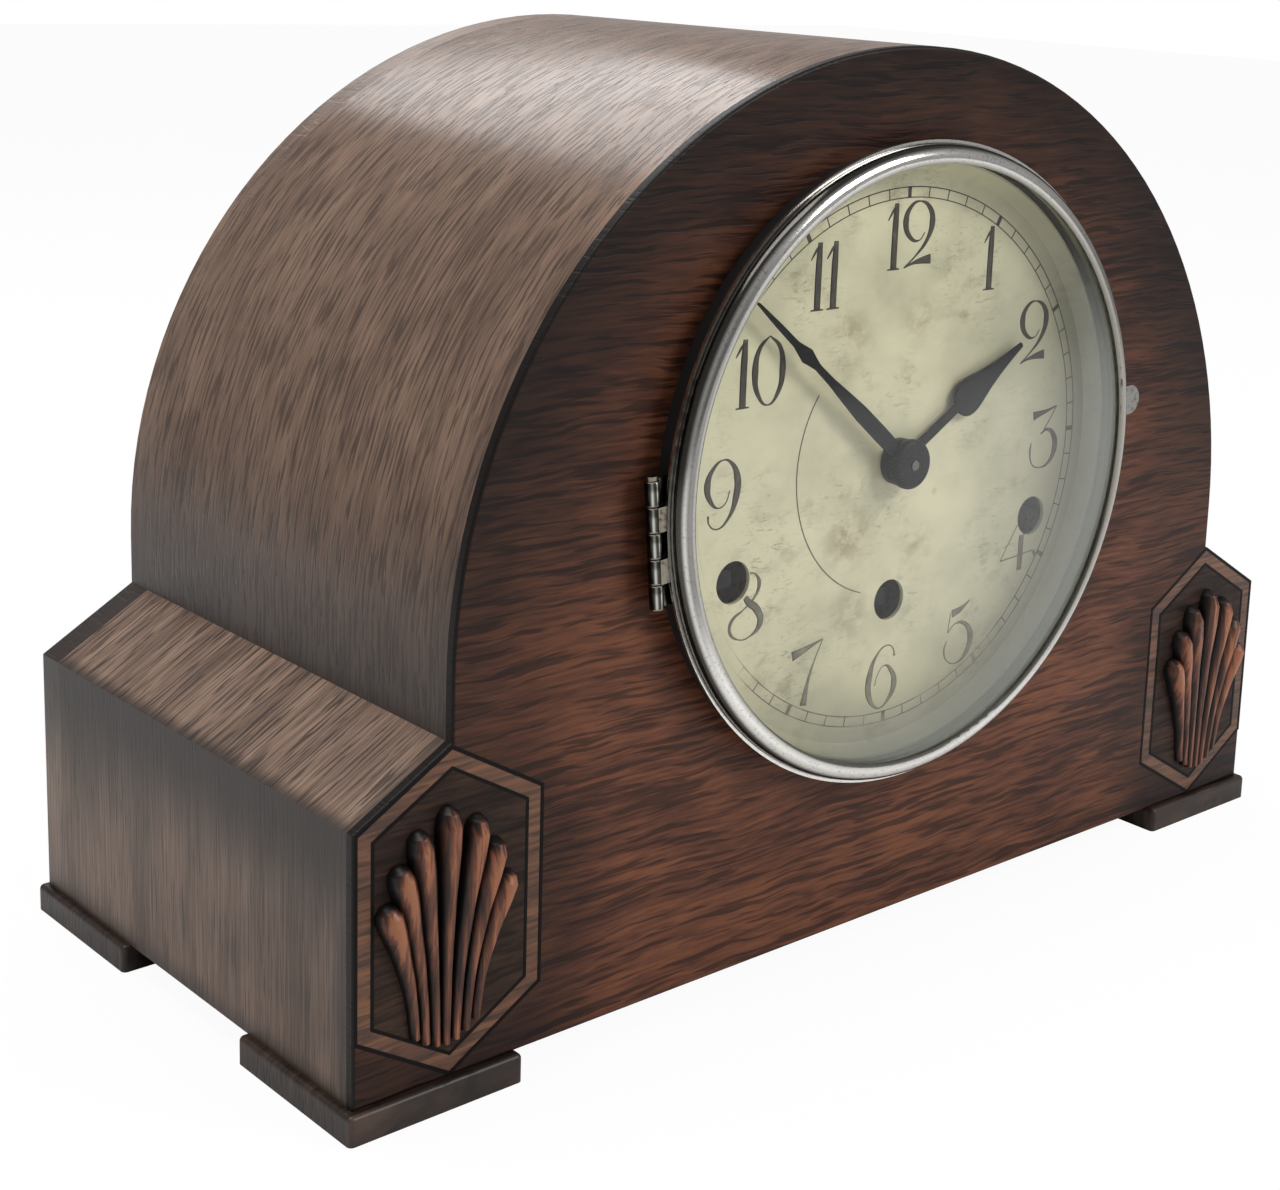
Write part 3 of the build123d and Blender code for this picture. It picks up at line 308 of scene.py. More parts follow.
def oak(name, roughness, shine, grain_maker, dent_depth, *recipe):
    finish, tree, shader = start_finish(name, roughness)
    shader.inputs["Specular IOR Level"].default_value = shine
    colour, height = oak_colour(tree, grain_maker(tree), *recipe)
    tree.links.new(colour, shader.inputs["Base Color"])
    dent(tree, shader, height, dent_depth, 0.3)
    return finish, tree, shader, colour


# %% Faces that look forward or back
def looking_forward(tree):
    facing = tree.nodes.new("ShaderNodeNewGeometry")
    turn = tree.nodes.new("ShaderNodeSeparateXYZ")
    tree.links.new(facing.outputs["Normal"], turn.inputs[0])
    return sum_node(tree, "ABSOLUTE", turn.outputs[1])


# %% [markdown]
# ## The front panel
# The front is a veneer of quarter-sawn oak, stained red-brown and darker towards the rim, round the hexagons
# and at its lower outer corners. The flecks run nearly level. Its narrow edge, which covers the ends of the
# bent shell, is stained black: the faces that don't look forward are found by their normal.

# %% Front panel
front_browns = (tint(57, 32, 23), tint(86, 51, 36), tint(109, 66, 44))
panel_finish, tree, shader, colour = oak(
    "front_oak",
    0.45,
    0.16,
    lambda tree: board_grain(tree, "x", "z", "y"),
    0.15 * MM,
    front_browns,
    4.0 * MM,
    (26.0, 90.0, 60.0),
    (70.0, 1000.0, 200.0),
    (48.0, 700.0, 100.0),
    0.7,
    0.48,
)
axes = object_axes(tree)
rise = sum_node(tree, "MAXIMUM", sum_node(tree, "SUBTRACT", axes["z"], arch_centre_z), 0.0)
reach = hypot_node(tree, axes["x"], rise)
rim = share_node(tree, reach, arch_radius - 56 * MM, arch_radius)
rim = sum_node(tree, "MULTIPLY", rim, share_node(tree, axes["z"], 10 * MM, 150 * MM))
colour = blend_node(tree, "MULTIPLY", rim, colour, (0.17, 0.19, 0.22, 1.0))
mirrored = {"x": sum_node(tree, "ABSOLUTE", axes["x"]), "z": axes["z"]}
hexagon_away = reach_node(tree, mirrored, arch_radius + 4 * MM, 36 * MM)
grime = share_node(tree, hexagon_away, 54 * MM, 32 * MM, 0.7)
colour = blend_node(tree, "MULTIPLY", grime, colour, (0.3, 0.3, 0.32, 1.0))
corner = share_node(tree, axes["z"], 26 * MM, 12 * MM, 0.85)
corner = sum_node(tree, "MULTIPLY", corner, share_node(tree, mirrored["x"], 84 * MM, 112 * MM))
colour = blend_node(tree, "MULTIPLY", corner, colour, (0.3, 0.34, 0.4, 1.0))
edge = sum_node(tree, "LESS_THAN", looking_forward(tree), 0.93)
colour = blend_node(tree, "MIX", edge, colour, tint(20, 15, 13))
tree.links.new(colour, shader.inputs["Base Color"])
dress(panel_finish, "front_panel")

# %% [markdown]
# ## The bent shell, the shoulders and the sides
# The shell is a greyer brown with fine pores along the bend and a good polish, so a window behind the clock
# lies on it as a pale sheen. Dirt dulls it all over, and more along its front edge; towards its foot it is
# painted much darker, as painted shade. The sloping tops have their grain running up the slope, and the side
# boards stand upright and are darker, with a worn top edge and painted shade below it.

# %% Shell, shoulders and sides
shell_recipe = (
    (tint(128, 100, 83), tint(168, 135, 114), tint(195, 160, 136)),
    2.0 * MM,
    (36.0, 120.0, 1.0),
    (70.0, 1300.0, 1.0),
    (80.0, 900.0, 1.0),
    0.72,
    0.48,
)


def shell_tone(tree):
    axes = object_axes(tree)
    colour, height = oak_colour(tree, bent_grain(tree), *shell_recipe)
    # Painted shade: the shell's colour is made much darker towards its foot.
    low = share_node(tree, axes["z"], 138 * MM, 76 * MM)
    colour = blend_node(tree, "MULTIPLY", low, colour, (0.11, 0.09, 0.08, 1.0))
    worn = share_node(tree, axes["y"], panel_low.y + 24 * MM, panel_low.y + 3 * MM, 0.7)
    below_top = share_node(tree, axes["z"], panel_high.z, panel_high.z - 50 * MM)
    worn = sum_node(tree, "MULTIPLY", worn, below_top)
    dulled = share_node(tree, axes["y"], panel_high.y - 24 * MM, panel_high.y, 0.6)
    worn = sum_node(tree, "MAXIMUM", worn, dulled)
    return blend_node(tree, "MIX", worn, colour, tint(56, 48, 44)), height


shell_finish, tree, shader = start_finish("shell_oak", 0.2)
shader.inputs["Specular IOR Level"].default_value = 0.2
colour, height = shell_tone(tree)
tree.links.new(colour, shader.inputs["Base Color"])
dent(tree, shader, height, 0.14 * MM, 0.3)
dress(shell_finish, "arch_shell")

# %% Shoulders and sides
top_finish, tree, shader, colour = oak(
    "shoulder_oak",
    0.4,
    0.35,
    lambda tree: board_grain(tree, "x", "y", "z"),
    0.12 * MM,
    (tint(88, 69, 58), tint(125, 101, 86), tint(154, 128, 110)),
    1.0 * MM,
    (24.0, 200.0, 10.0),
    (60.0, 1700.0, 20.0),
    (90.0, 1300.0, 40.0),
    0.9,
    0.47,
)
axes = object_axes(tree)
aside = sum_node(tree, "ABSOLUTE", axes["x"])
rubbed = share_node(tree, aside, half_width - 3.5 * MM, half_width, 0.8)
front_rub = share_node(tree, axes["y"], panel_low.y + 8 * MM, panel_low.y, 0.6)
rubbed = sum_node(tree, "MAXIMUM", rubbed, front_rub)
colour = blend_node(tree, "MIX", rubbed, colour, tint(36, 29, 26))
tree.links.new(colour, shader.inputs["Base Color"])
dress(top_finish, "left_shoulder_top", "right_shoulder_top")

side_recipe = (
    (tint(80, 63, 53), tint(108, 88, 75), tint(132, 109, 94)),
    1.0 * MM,
    (12.0, 90.0, 10.0),
    (30.0, 1500.0, 20.0),
    (60.0, 1300.0, 40.0),
    0.5,
    0.46,
)
side_low, side_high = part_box("left_shoulder_side")


def side_tone(tree):
    axes = object_axes(tree)
    grain = board_grain(tree, "z", "y", "x")
    colour, height = oak_colour(tree, grain, *side_recipe)
    cloud = share_node(tree, noise_node(tree, grain, (26.0, 22.0, 22.0), 3.0), 0.4, 0.62, 0.6)
    colour = blend_node(tree, "MULTIPLY", cloud, colour, (0.55, 0.54, 0.54, 1.0))
    # Darker towards the top: the top edge is worn dark, and the wider band below it is painted shade.
    rubbed = share_node(tree, axes["z"], side_high.z - 34 * MM, side_high.z - 4 * MM, 0.9)
    low_rub = share_node(tree, axes["z"], side_low.z + 6 * MM, side_low.z, 0.6)
    front_rub = share_node(tree, axes["y"], side_low.y + 7 * MM, side_low.y, 0.7)
    for rub in (low_rub, front_rub):
        rubbed = sum_node(tree, "MAXIMUM", rubbed, rub)
    return blend_node(tree, "MIX", rubbed, colour, tint(32, 26, 23)), height


side_finish, tree, shader = start_finish("side_oak", 0.4)
shader.inputs["Specular IOR Level"].default_value = 0.25
colour, height = side_tone(tree)
tree.links.new(colour, shader.inputs["Base Color"])
dent(tree, shader, height, 0.1 * MM, 0.3)
dress(side_finish, "left_shoulder_side", "right_shoulder_side")

# %% [markdown]
# ## Plain boards, feet, band and carving
# Inside and behind, the wood is plain. The feet are nearly black. The band of the inlay is a lighter oak.
# The carved shells were stained dark all over and then rubbed, so their ridges are golden. The depth of a
# point behind the ridges picks its colour, so the flanks and grooves go nearly black: partly the stain left
# in them, partly painted shade.

# %% Plain wood, feet and band
plain_marks = (2.0 * MM, (24.0, 240.0, 60.0), (40.0, 900.0, 120.0), (80.0, 560.0, 100.0), 0.6, 0.46)


def plain_wood(name, browns, along, across, through, roughness, *nodes):
    finish = oak(
        name,
        roughness,
        0.35,
        lambda tree: board_grain(tree, along, across, through),
        0.15 * MM,
        browns,
        *plain_marks,
    )[0]
    dress(finish, *nodes)


base_browns = (tint(84, 62, 44), tint(120, 92, 66), tint(146, 116, 86))
plain_wood("base_wood", base_browns, "x", "y", "z", 0.6, "base_board")
back_browns = (tint(48, 33, 24), tint(80, 57, 41), tint(104, 78, 58))
plain_wood("back_wood", back_browns, "z", "x", "y", 0.5, "back_door", "door_knob")
rim_finish, tree, shader, colour = oak(
    "back_rim",
    0.4,
    0.35,
    lambda tree: board_grain(tree, "z", "x", "y"),
    0.15 * MM,
    back_browns,
    *plain_marks,
)
# The rim's edge faces take the shell's and the sides' colours, painted shade included.
rim_colour = shell_tone(tree)[0]
axes = object_axes(tree)
side_colour = side_tone(tree)[0]
outside = sum_node(tree, "GREATER_THAN", sum_node(tree, "ABSOLUTE", axes["x"]), arch_radius + 1 * MM)
rim_colour = blend_node(tree, "MIX", outside, rim_colour, side_colour)
rim_share = sum_node(tree, "LESS_THAN", looking_forward(tree), 0.5)
colour = blend_node(tree, "MIX", rim_share, colour, rim_colour)
tree.links.new(colour, shader.inputs["Base Color"])
dress(rim_finish, "back_frame")
foot_browns = (tint(28, 21, 18), tint(46, 34, 28), tint(68, 51, 42))
plain_wood("foot_wood", foot_browns, "x", "y", "z", 0.42, "feet")
band_browns = (tint(54, 34, 25), tint(86, 55, 37), tint(112, 74, 48))
plain_wood("band_oak", band_browns, "x", "z", "y", 0.42, "inlay_bands")

# %% Finish of the carving
carved_finish, tree, shader = start_finish("carved_oak", 0.42)
shader.inputs["Specular IOR Level"].default_value = 0.3
axes = object_axes(tree)
proud = sum_node(tree, "SUBTRACT", front_face_y, axes["y"])
ridge = tree.nodes.new("ShaderNodeMapRange")
ridge.inputs["From Min"].default_value = 15 * MM
ridge.inputs["From Max"].default_value = 58 * MM
ridge.inputs["To Min"].default_value = 1.7 * MM
ridge.inputs["To Max"].default_value = 4.4 * MM
tree.links.new(axes["z"], ridge.inputs["Value"])
# Painted shade along with the stain: the deeper a point lies behind the ridge, the darker its colour.
depth = sum_node(tree, "DIVIDE", proud, ridge.outputs[0])
streak = noise_node(tree, board_grain(tree, "z", "x", "y"), (60.0, 900.0, 300.0), 4.0, 0.6, 0.4)
level = sum_node(tree, "ADD", depth, sum_node(tree, "MULTIPLY", streak, 1.3))
level = sum_node(tree, "SUBTRACT", level, 0.7)
colour = ramp_node(
    tree,
    level,
    [(0.36, tint(12, 9, 8)), (0.6, tint(46, 26, 19)), (0.82, tint(94, 54, 37)), (1.0, tint(140, 88, 60))],
)
tree.links.new(colour, shader.inputs["Base Color"])
print("carving finish ready")

# %% [markdown]
# ## Dark ground and lines of the inlay
# Inside each hexagon the panel is stained dark, and a thin dark line runs along both edges of the band.
# They are only as thick as veneer. A hexagon face is made from its six corners, inset to the edge of a
# line and again to its other edge, and what is left between is raised by a hair.

# %% Corners of a hexagon
ground_finish = oak(
    "ground_stain",
    0.5,
    0.12,
    lambda tree: board_grain(tree, "x", "z", "y"),
    0.1 * MM,
    (tint(26, 18, 15), tint(43, 30, 24), tint(60, 42, 33)),
    4.0 * MM,
    (48.0, 300.0, 60.0),
    (70.0, 900.0, 200.0),
    (48.0, 520.0, 100.0),
    0.5,
    0.48,
)[0]
line_finish, tree, shader = start_finish("dark_line", 0.5)
shader.inputs["Base Color"].default_value = tint(10, 8, 7)
shader.inputs["Specular IOR Level"].default_value = 0.1

foot_top_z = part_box("feet")[1].z
shoulder_top_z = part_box("left_shoulder_top")[1].z
corner_z = shoulder_top_z - 13.9 * MM
hexagon_low_z = 20.7 * MM
hexagon_width = 46.8 * MM
hexagon_corners = (
    (arch_radius, shoulder_top_z),
    (half_width, corner_z),
    (half_width, hexagon_low_z),
    (arch_radius, foot_top_z),
    (half_width - hexagon_width, hexagon_low_z),
    (half_width - hexagon_width, corner_z),
)
print("hexagon corners", [(round(x, 4), round(z, 4)) for x, z in hexagon_corners])


# %% Veneer pieces of the inlay
def raise_faces(shape, thickness):
    grown = bmesh.ops.extrude_face_region(shape, geom=list(shape.faces))
    raised = [v for v in grown["geom"] if isinstance(v, bmesh.types.BMVert)]
    bmesh.ops.translate(shape, verts=raised, vec=(0.0, -thickness, 0.0))
    bmesh.ops.recalc_face_normals(shape, faces=list(shape.faces))


def place_piece(shape, name, finish, body):
    mesh = bpy.data.meshes.new(name)
    shape.to_mesh(mesh)
    shape.free()
    mesh.materials.append(finish)
    piece = bpy.data.objects.new(name, mesh)
    bpy.context.scene.collection.objects.link(piece)
    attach(piece, body)
    print(name, "faces", len(mesh.polygons))
    return piece


def widest(shape):
    return max(shape.faces, key=lambda face: face.calc_area())


def hexagon_shape(side, outer_inset):
    shape = bmesh.new()
    corners = [shape.verts.new((side * x, front_face_y, z)) for x, z in hexagon_corners]
    shape.faces.new(corners)
    shape.normal_update()
    bmesh.ops.inset_region(
        shape, faces=list(shape.faces), thickness=outer_inset, use_boundary=True, use_even_offset=True
    )
    middle = widest(shape)
    bmesh.ops.delete(shape, geom=[face for face in shape.faces if face != middle], context="FACES")
    return shape


def hexagon_line(side, outer_inset, width):
    shape = hexagon_shape(side, outer_inset)
    bmesh.ops.inset_region(
        shape, faces=list(shape.faces), thickness=width, use_boundary=True, use_even_offset=True
    )
    bmesh.ops.delete(shape, geom=[widest(shape)], context="FACES")
    return shape


line_width = 0.75 * MM
line_height = 0.08 * MM
line_insets = ((0.15 * MM, "outer"), (4.05 * MM, "inner"))
ground_inset = 4.9 * MM
ground_height = 0.05 * MM
for side, word in ((-1, "left"), (1, "right")):
    for inset, edge_word in line_insets:
        shape = hexagon_line(side, inset, line_width)
        raise_faces(shape, line_height)
        place_piece(shape, word + "_" + edge_word + "_line", line_finish, "case")
    shape = hexagon_shape(side, ground_inset)
    raise_faces(shape, ground_height)
    place_piece(shape, word + "_hexagon_ground", ground_finish, "case")

# %% [markdown]
# ## Carved fan shells
# A carver cuts each shell as seven lobes that start side by side at the foot, run up together and spread
# into round ends. A lobe is a curve with a round bevel: each point carries half the lobe's width there.
# The curve is made a mesh, stretched forward so that the grooves are deep, and the half that would lie
# inside the panel is cut away and closed.

# %% Lobes of the shells
def swept_bar(points, rings=6, roundness=1):
    curve = bpy.data.curves.new("bar", "CURVE")
    curve.dimensions = "3D"
    curve.bevel_depth = 1.0 * MM
    curve.bevel_resolution = roundness
    curve.resolution_u = rings
    curve.use_fill_caps = True
    line = curve.splines.new("BEZIER")
    line.bezier_points.add(len(points) - 1)
    for knot, (across, up, half) in zip(line.bezier_points, points):
        knot.co = (across * MM, up * MM, 0.0)
        knot.radius = half
        knot.handle_left_type = "AUTO"
        knot.handle_right_type = "AUTO"
    holder = bpy.data.objects.new("bar", curve)
    bpy.context.scene.collection.objects.link(holder)
    ready = holder.evaluated_get(bpy.context.evaluated_depsgraph_get())
    mesh = bpy.data.meshes.new_from_object(ready)
    bpy.data.objects.remove(holder)
    bpy.data.curves.remove(curve)
    return mesh


lobe_tips = (
    (-15.2, 49.4), (-12.2, 57.2), (-7.5, 63.5), (0.0, 67.0), (7.5, 63.5), (12.2, 57.2), (15.2, 49.4),
)
lobe_feet = (
    (-7.4, 18.2), (-4.9, 16.4), (-2.4, 15.2), (0.0, 14.8), (2.4, 15.2), (4.9, 16.4), (7.4, 18.2),
)
lobe_shares = (
    (0.0, 1.15), (0.3, 1.4), (0.6, 2.05), (0.82, 2.85), (0.92, 3.0), (0.975, 2.3), (1.0, 0.9),
)
lobe_reach = 1.5
lobe_bend = 1.6
carving_sunk = 0.4 * MM
face_front = Matrix.Rotation(math.radians(90), 4, "X")


def shell_shape(centre_x):
    shape = bmesh.new()
    for (tip_x, tip_z), (foot_x, foot_z) in zip(lobe_tips, lobe_feet):
        points = []
        for share, half in lobe_shares:
            across = foot_x + (tip_x - foot_x) * share**lobe_bend
            points.append((across, foot_z + (tip_z - foot_z) * share, half))
        lobe_mesh = swept_bar(points, 6, 3)
        shape.from_mesh(lobe_mesh)
        bpy.data.meshes.remove(lobe_mesh)
    bmesh.ops.scale(shape, verts=list(shape.verts), vec=(1.0, 1.0, lobe_reach))
    bmesh.ops.transform(shape, matrix=face_front, verts=list(shape.verts))
    bmesh.ops.translate(shape, verts=list(shape.verts), vec=(centre_x, front_face_y, 0.0))
    bmesh.ops.remove_doubles(shape, verts=list(shape.verts), dist=0.001 * MM)
    cut_y = front_face_y + carving_sunk
    everything = list(shape.verts) + list(shape.edges) + list(shape.faces)
    bmesh.ops.bisect_plane(
        shape, geom=everything, plane_co=(0.0, cut_y, 0.0), plane_no=(0.0, 1.0, 0.0), clear_outer=True
    )
    open_edges = [edge for edge in shape.edges if edge.is_boundary]
    bmesh.ops.holes_fill(shape, edges=open_edges)
    bmesh.ops.recalc_face_normals(shape, faces=list(shape.faces))
    for face in shape.faces:
        face.smooth = abs(face.normal.y) < 0.999
    return shape


for node_name in ("left_shell_carving", "right_shell_carving"):
    low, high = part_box(node_name)
    shape = shell_shape((low.x + high.x) / 2)
    carved = place_piece(shape, node_name + "_lobes", carved_finish, "case")
    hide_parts(node_name)

# %% [markdown]
# ## Dial and sight ring
# The dial is a brass plate, silvered and lacquered. The lacquer has yellowed and the silver has gone
# blotchy where damp got in, with fine scratches from dusting. Slow noise makes the blotches, and noise
# squeezed hard in one direction makes the scratches. It is shaded as a pale paint with some gloss, because
# old silvering scatters light more than it mirrors it.

# %% Silvered dial
dial_stains = (
    (-16.0, -17.0, 11.0, 0.85),
    (-13.0, -35.0, 9.0, 0.75),
    (9.0, -22.0, 8.0, 0.6),
    (-2.0, -11.5, 1.0, 0.95),
    (-17.0, 31.0, 10.0, 0.65),
    (6.0, 34.0, 9.0, 0.6),
    (21.0, 33.0, 2.4, 0.7),
    (14.0, -9.5, 1.3, 0.8),
    (-35.0, -50.0, 9.0, 0.4),
    (20.0, 12.0, 8.0, 0.35),
)
dial_finish, tree, shader = start_finish("old_silvering", 0.38)
axes = object_axes(tree)
spot = grain_vector(tree, axes["x"], axes["z"], 0.0)
cloud = noise_node(tree, spot, (22.0, 26.0, 1.0), 5.0, 0.6)
grime = noise_node(tree, spot, (130.0, 170.0, 1.0), 6.0, 0.7)
scratch = noise_node(tree, spot, (240.0, 900.0, 1.0), 3.0, 0.6, 1.5)
silver = ramp_node(
    tree,
    cloud,
    [(0.3, tint(168, 164, 138)), (0.5, tint(198, 192, 163)), (0.68, tint(212, 205, 175))],
)
dirt = ramp_node(tree, grime, [(0.5, BLACK), (0.7, WHITE)])
damp = noise_node(tree, spot, (38.0, 34.0, 1.0), 2.0)
where = ramp_node(tree, damp, [(0.45, BLACK), (0.65, WHITE)])
dirt_share = sum_node(tree, "MULTIPLY", sum_node(tree, "MULTIPLY", dirt, where), 0.7)
colour = blend_node(tree, "MIX", dirt_share, silver, tint(120, 112, 84))
lines = ramp_node(tree, scratch, [(0.59, BLACK), (0.66, WHITE)])
line_share = sum_node(tree, "MULTIPLY", sum_node(tree, "MULTIPLY", lines, where), 0.55)
colour = blend_node(tree, "MIX", line_share, colour, tint(104, 96, 74))
speckle = ramp_node(tree, grime, [(0.42, (0.1, 0.1, 0.1, 1)), (0.58, WHITE)])
for stain_x, stain_z, stain_size, stain_share in dial_stains:
    away = reach_node(tree, axes, stain_x * MM, dial_middle.z + stain_z * MM)
    ragged = sum_node(tree, "ADD", away, sum_node(tree, "MULTIPLY", grime, stain_size * MM))
    stain = share_node(tree, ragged, stain_size * 1.6 * MM, stain_size * 0.5 * MM, stain_share)
    stain = sum_node(tree, "MULTIPLY", stain, speckle)
    colour = blend_node(tree, "MIX", stain, colour, tint(136, 120, 90))
# Painted shade and painted haze of the glass: the dial greys towards its right side.
dull = share_node(tree, axes["x"], 5 * MM, 70 * MM, 0.7)
colour = blend_node(tree, "MIX", dull, colour, tint(140, 139, 122))
tree.links.new(colour, shader.inputs["Base Color"])
dress(dial_finish, "dial_plate", "sight_ring")

# %% [markdown]
# ## The print on the dial
# Two fine circles hold a tick for each minute, with a short bar at each hour. A circle line is a flat
# ring between two circles of edges, joined by a bridge, and a tick is a grid of one face. All of it is a
# layer of paint a few hundredths of a millimetre high.

# %% Minute track
paint_finish, tree, shader = start_finish("dial_paint", 0.5)
axes = object_axes(tree)
worn = noise_node(tree, grain_vector(tree, axes["x"], axes["z"], 0.0), (300.0, 300.0, 1.0), 3.0)
paints = [(0.35, tint(42, 38, 33)), (0.62, tint(58, 52, 43)), (0.75, tint(92, 86, 70))]
colour = ramp_node(tree, worn, paints)
low = tree.nodes.new("ShaderNodeMapRange")
low.inputs["From Min"].default_value = dial_middle.z
low.inputs["From Max"].default_value = dial_middle.z - 60 * MM
tree.links.new(axes["z"], low.inputs["Value"])
rubbed = sum_node(tree, "MULTIPLY", sum_node(tree, "MULTIPLY", low.outputs[0], worn), 0.75)
colour = blend_node(tree, "MIX", rubbed, colour, tint(186, 180, 152))
tree.links.new(colour, shader.inputs["Base Color"])
paint_back_y = dial_face_y + 0.01 * MM
paint_thick = 0.06 * MM
face_dial = Matrix.Translation((0.0, paint_back_y, dial_middle.z)) @ face_front


def paint_ring(shape, outer, inner, steps=180):
    edges = []
    for radius in (outer, inner):
        made = bmesh.ops.create_circle(shape, segments=steps, radius=radius, matrix=face_dial)
        edges += list({edge for vert in made["verts"] for edge in vert.link_edges})
    bmesh.ops.bridge_loops(shape, edges=edges)


def paint_bar(shape, angle, low, high, width):
    size = Matrix.Diagonal((width / 2, (high - low) / 2, 1.0, 1.0))
    lift = Matrix.Translation((0.0, (high + low) / 2, 0.0))
    spin = Matrix.Rotation(-angle, 4, "Z")
    place = face_dial @ spin @ lift @ size
    bmesh.ops.create_grid(shape, x_segments=1, y_segments=1, size=1.0, matrix=place)


track_outer = 65.15 * MM
track_inner = 62.7 * MM
track_line = 0.26 * MM
hour_bar = 1.15 * MM
minute_tick = 0.3 * MM
track = bmesh.new()
for radius in (track_outer, track_inner):
    paint_ring(track, radius, radius - track_line)
for minute in range(60):
    width = hour_bar if minute % 5 == 0 else minute_tick
    paint_bar(track, math.radians(minute * 6), track_inner - track_line, track_outer, width)
raise_faces(track, paint_thick)
track_finish, tree, shader = start_finish("worn_paint", 0.5)
shader.inputs["Base Color"].default_value = tint(58, 52, 43)
axes = object_axes(tree)
rubbing = noise_node(tree, grain_vector(tree, axes["x"], axes["z"], 0.0), (70.0, 70.0, 1.0), 3.0)
left_rub = share_node(tree, axes["x"], -34 * MM, -58 * MM, 1.1)
low_rub = share_node(tree, axes["z"], dial_middle.z + 10 * MM, dial_middle.z - 45 * MM, 0.55)
rubbed = sum_node(tree, "ADD", sum_node(tree, "MAXIMUM", left_rub, low_rub), rubbing)
gone = share_node(tree, rubbed, 0.72, 1.3, 0.97)
bare = tree.nodes.new("ShaderNodeBsdfTransparent")
show(tree, mix_shaders(tree, gone, shader.outputs[0], bare.outputs[0]))
place_piece(track, "minute_track", track_finish, "case")

# %% [markdown]
# A finer circle once ran round inside the numerals. Most of it is polished away, and only the left side
# is still plain, so it is drawn there alone: a whole ring is cut by two planes through the dial's middle.

# %% Worn inner circle
inner_circle = bmesh.new()
arc_outer = 32.6 * MM
arc_inner = 32.3 * MM
arc_ends = (54.6, -17.7)
paint_ring(inner_circle, arc_outer, arc_inner, 120)
arc_middle = Vector((0.0, paint_back_y, dial_middle.z))
for angle in arc_ends:
    across = Vector((math.cos(math.radians(angle)), 0.0, math.sin(math.radians(angle))))
    bmesh.ops.bisect_plane(
        inner_circle,
        geom=list(inner_circle.verts) + list(inner_circle.edges) + list(inner_circle.faces),
        plane_co=arc_middle,
        plane_no=across,
        clear_outer=True,
    )
raise_faces(inner_circle, paint_thick)
place_piece(inner_circle, "inner_circle", paint_finish, "case")

# %% [markdown]
# ## Numerals
# The numerals are tall, slender figures with thick and thin strokes, as a pen makes them. Each stroke is a
# curve whose points carry half the width of the pen there. A round bevel follows the curve, the curve is
# made a mesh, and the mesh is pressed flat, which leaves a stroke of paint of the right outline.
# The figures stand upright all round the dial.

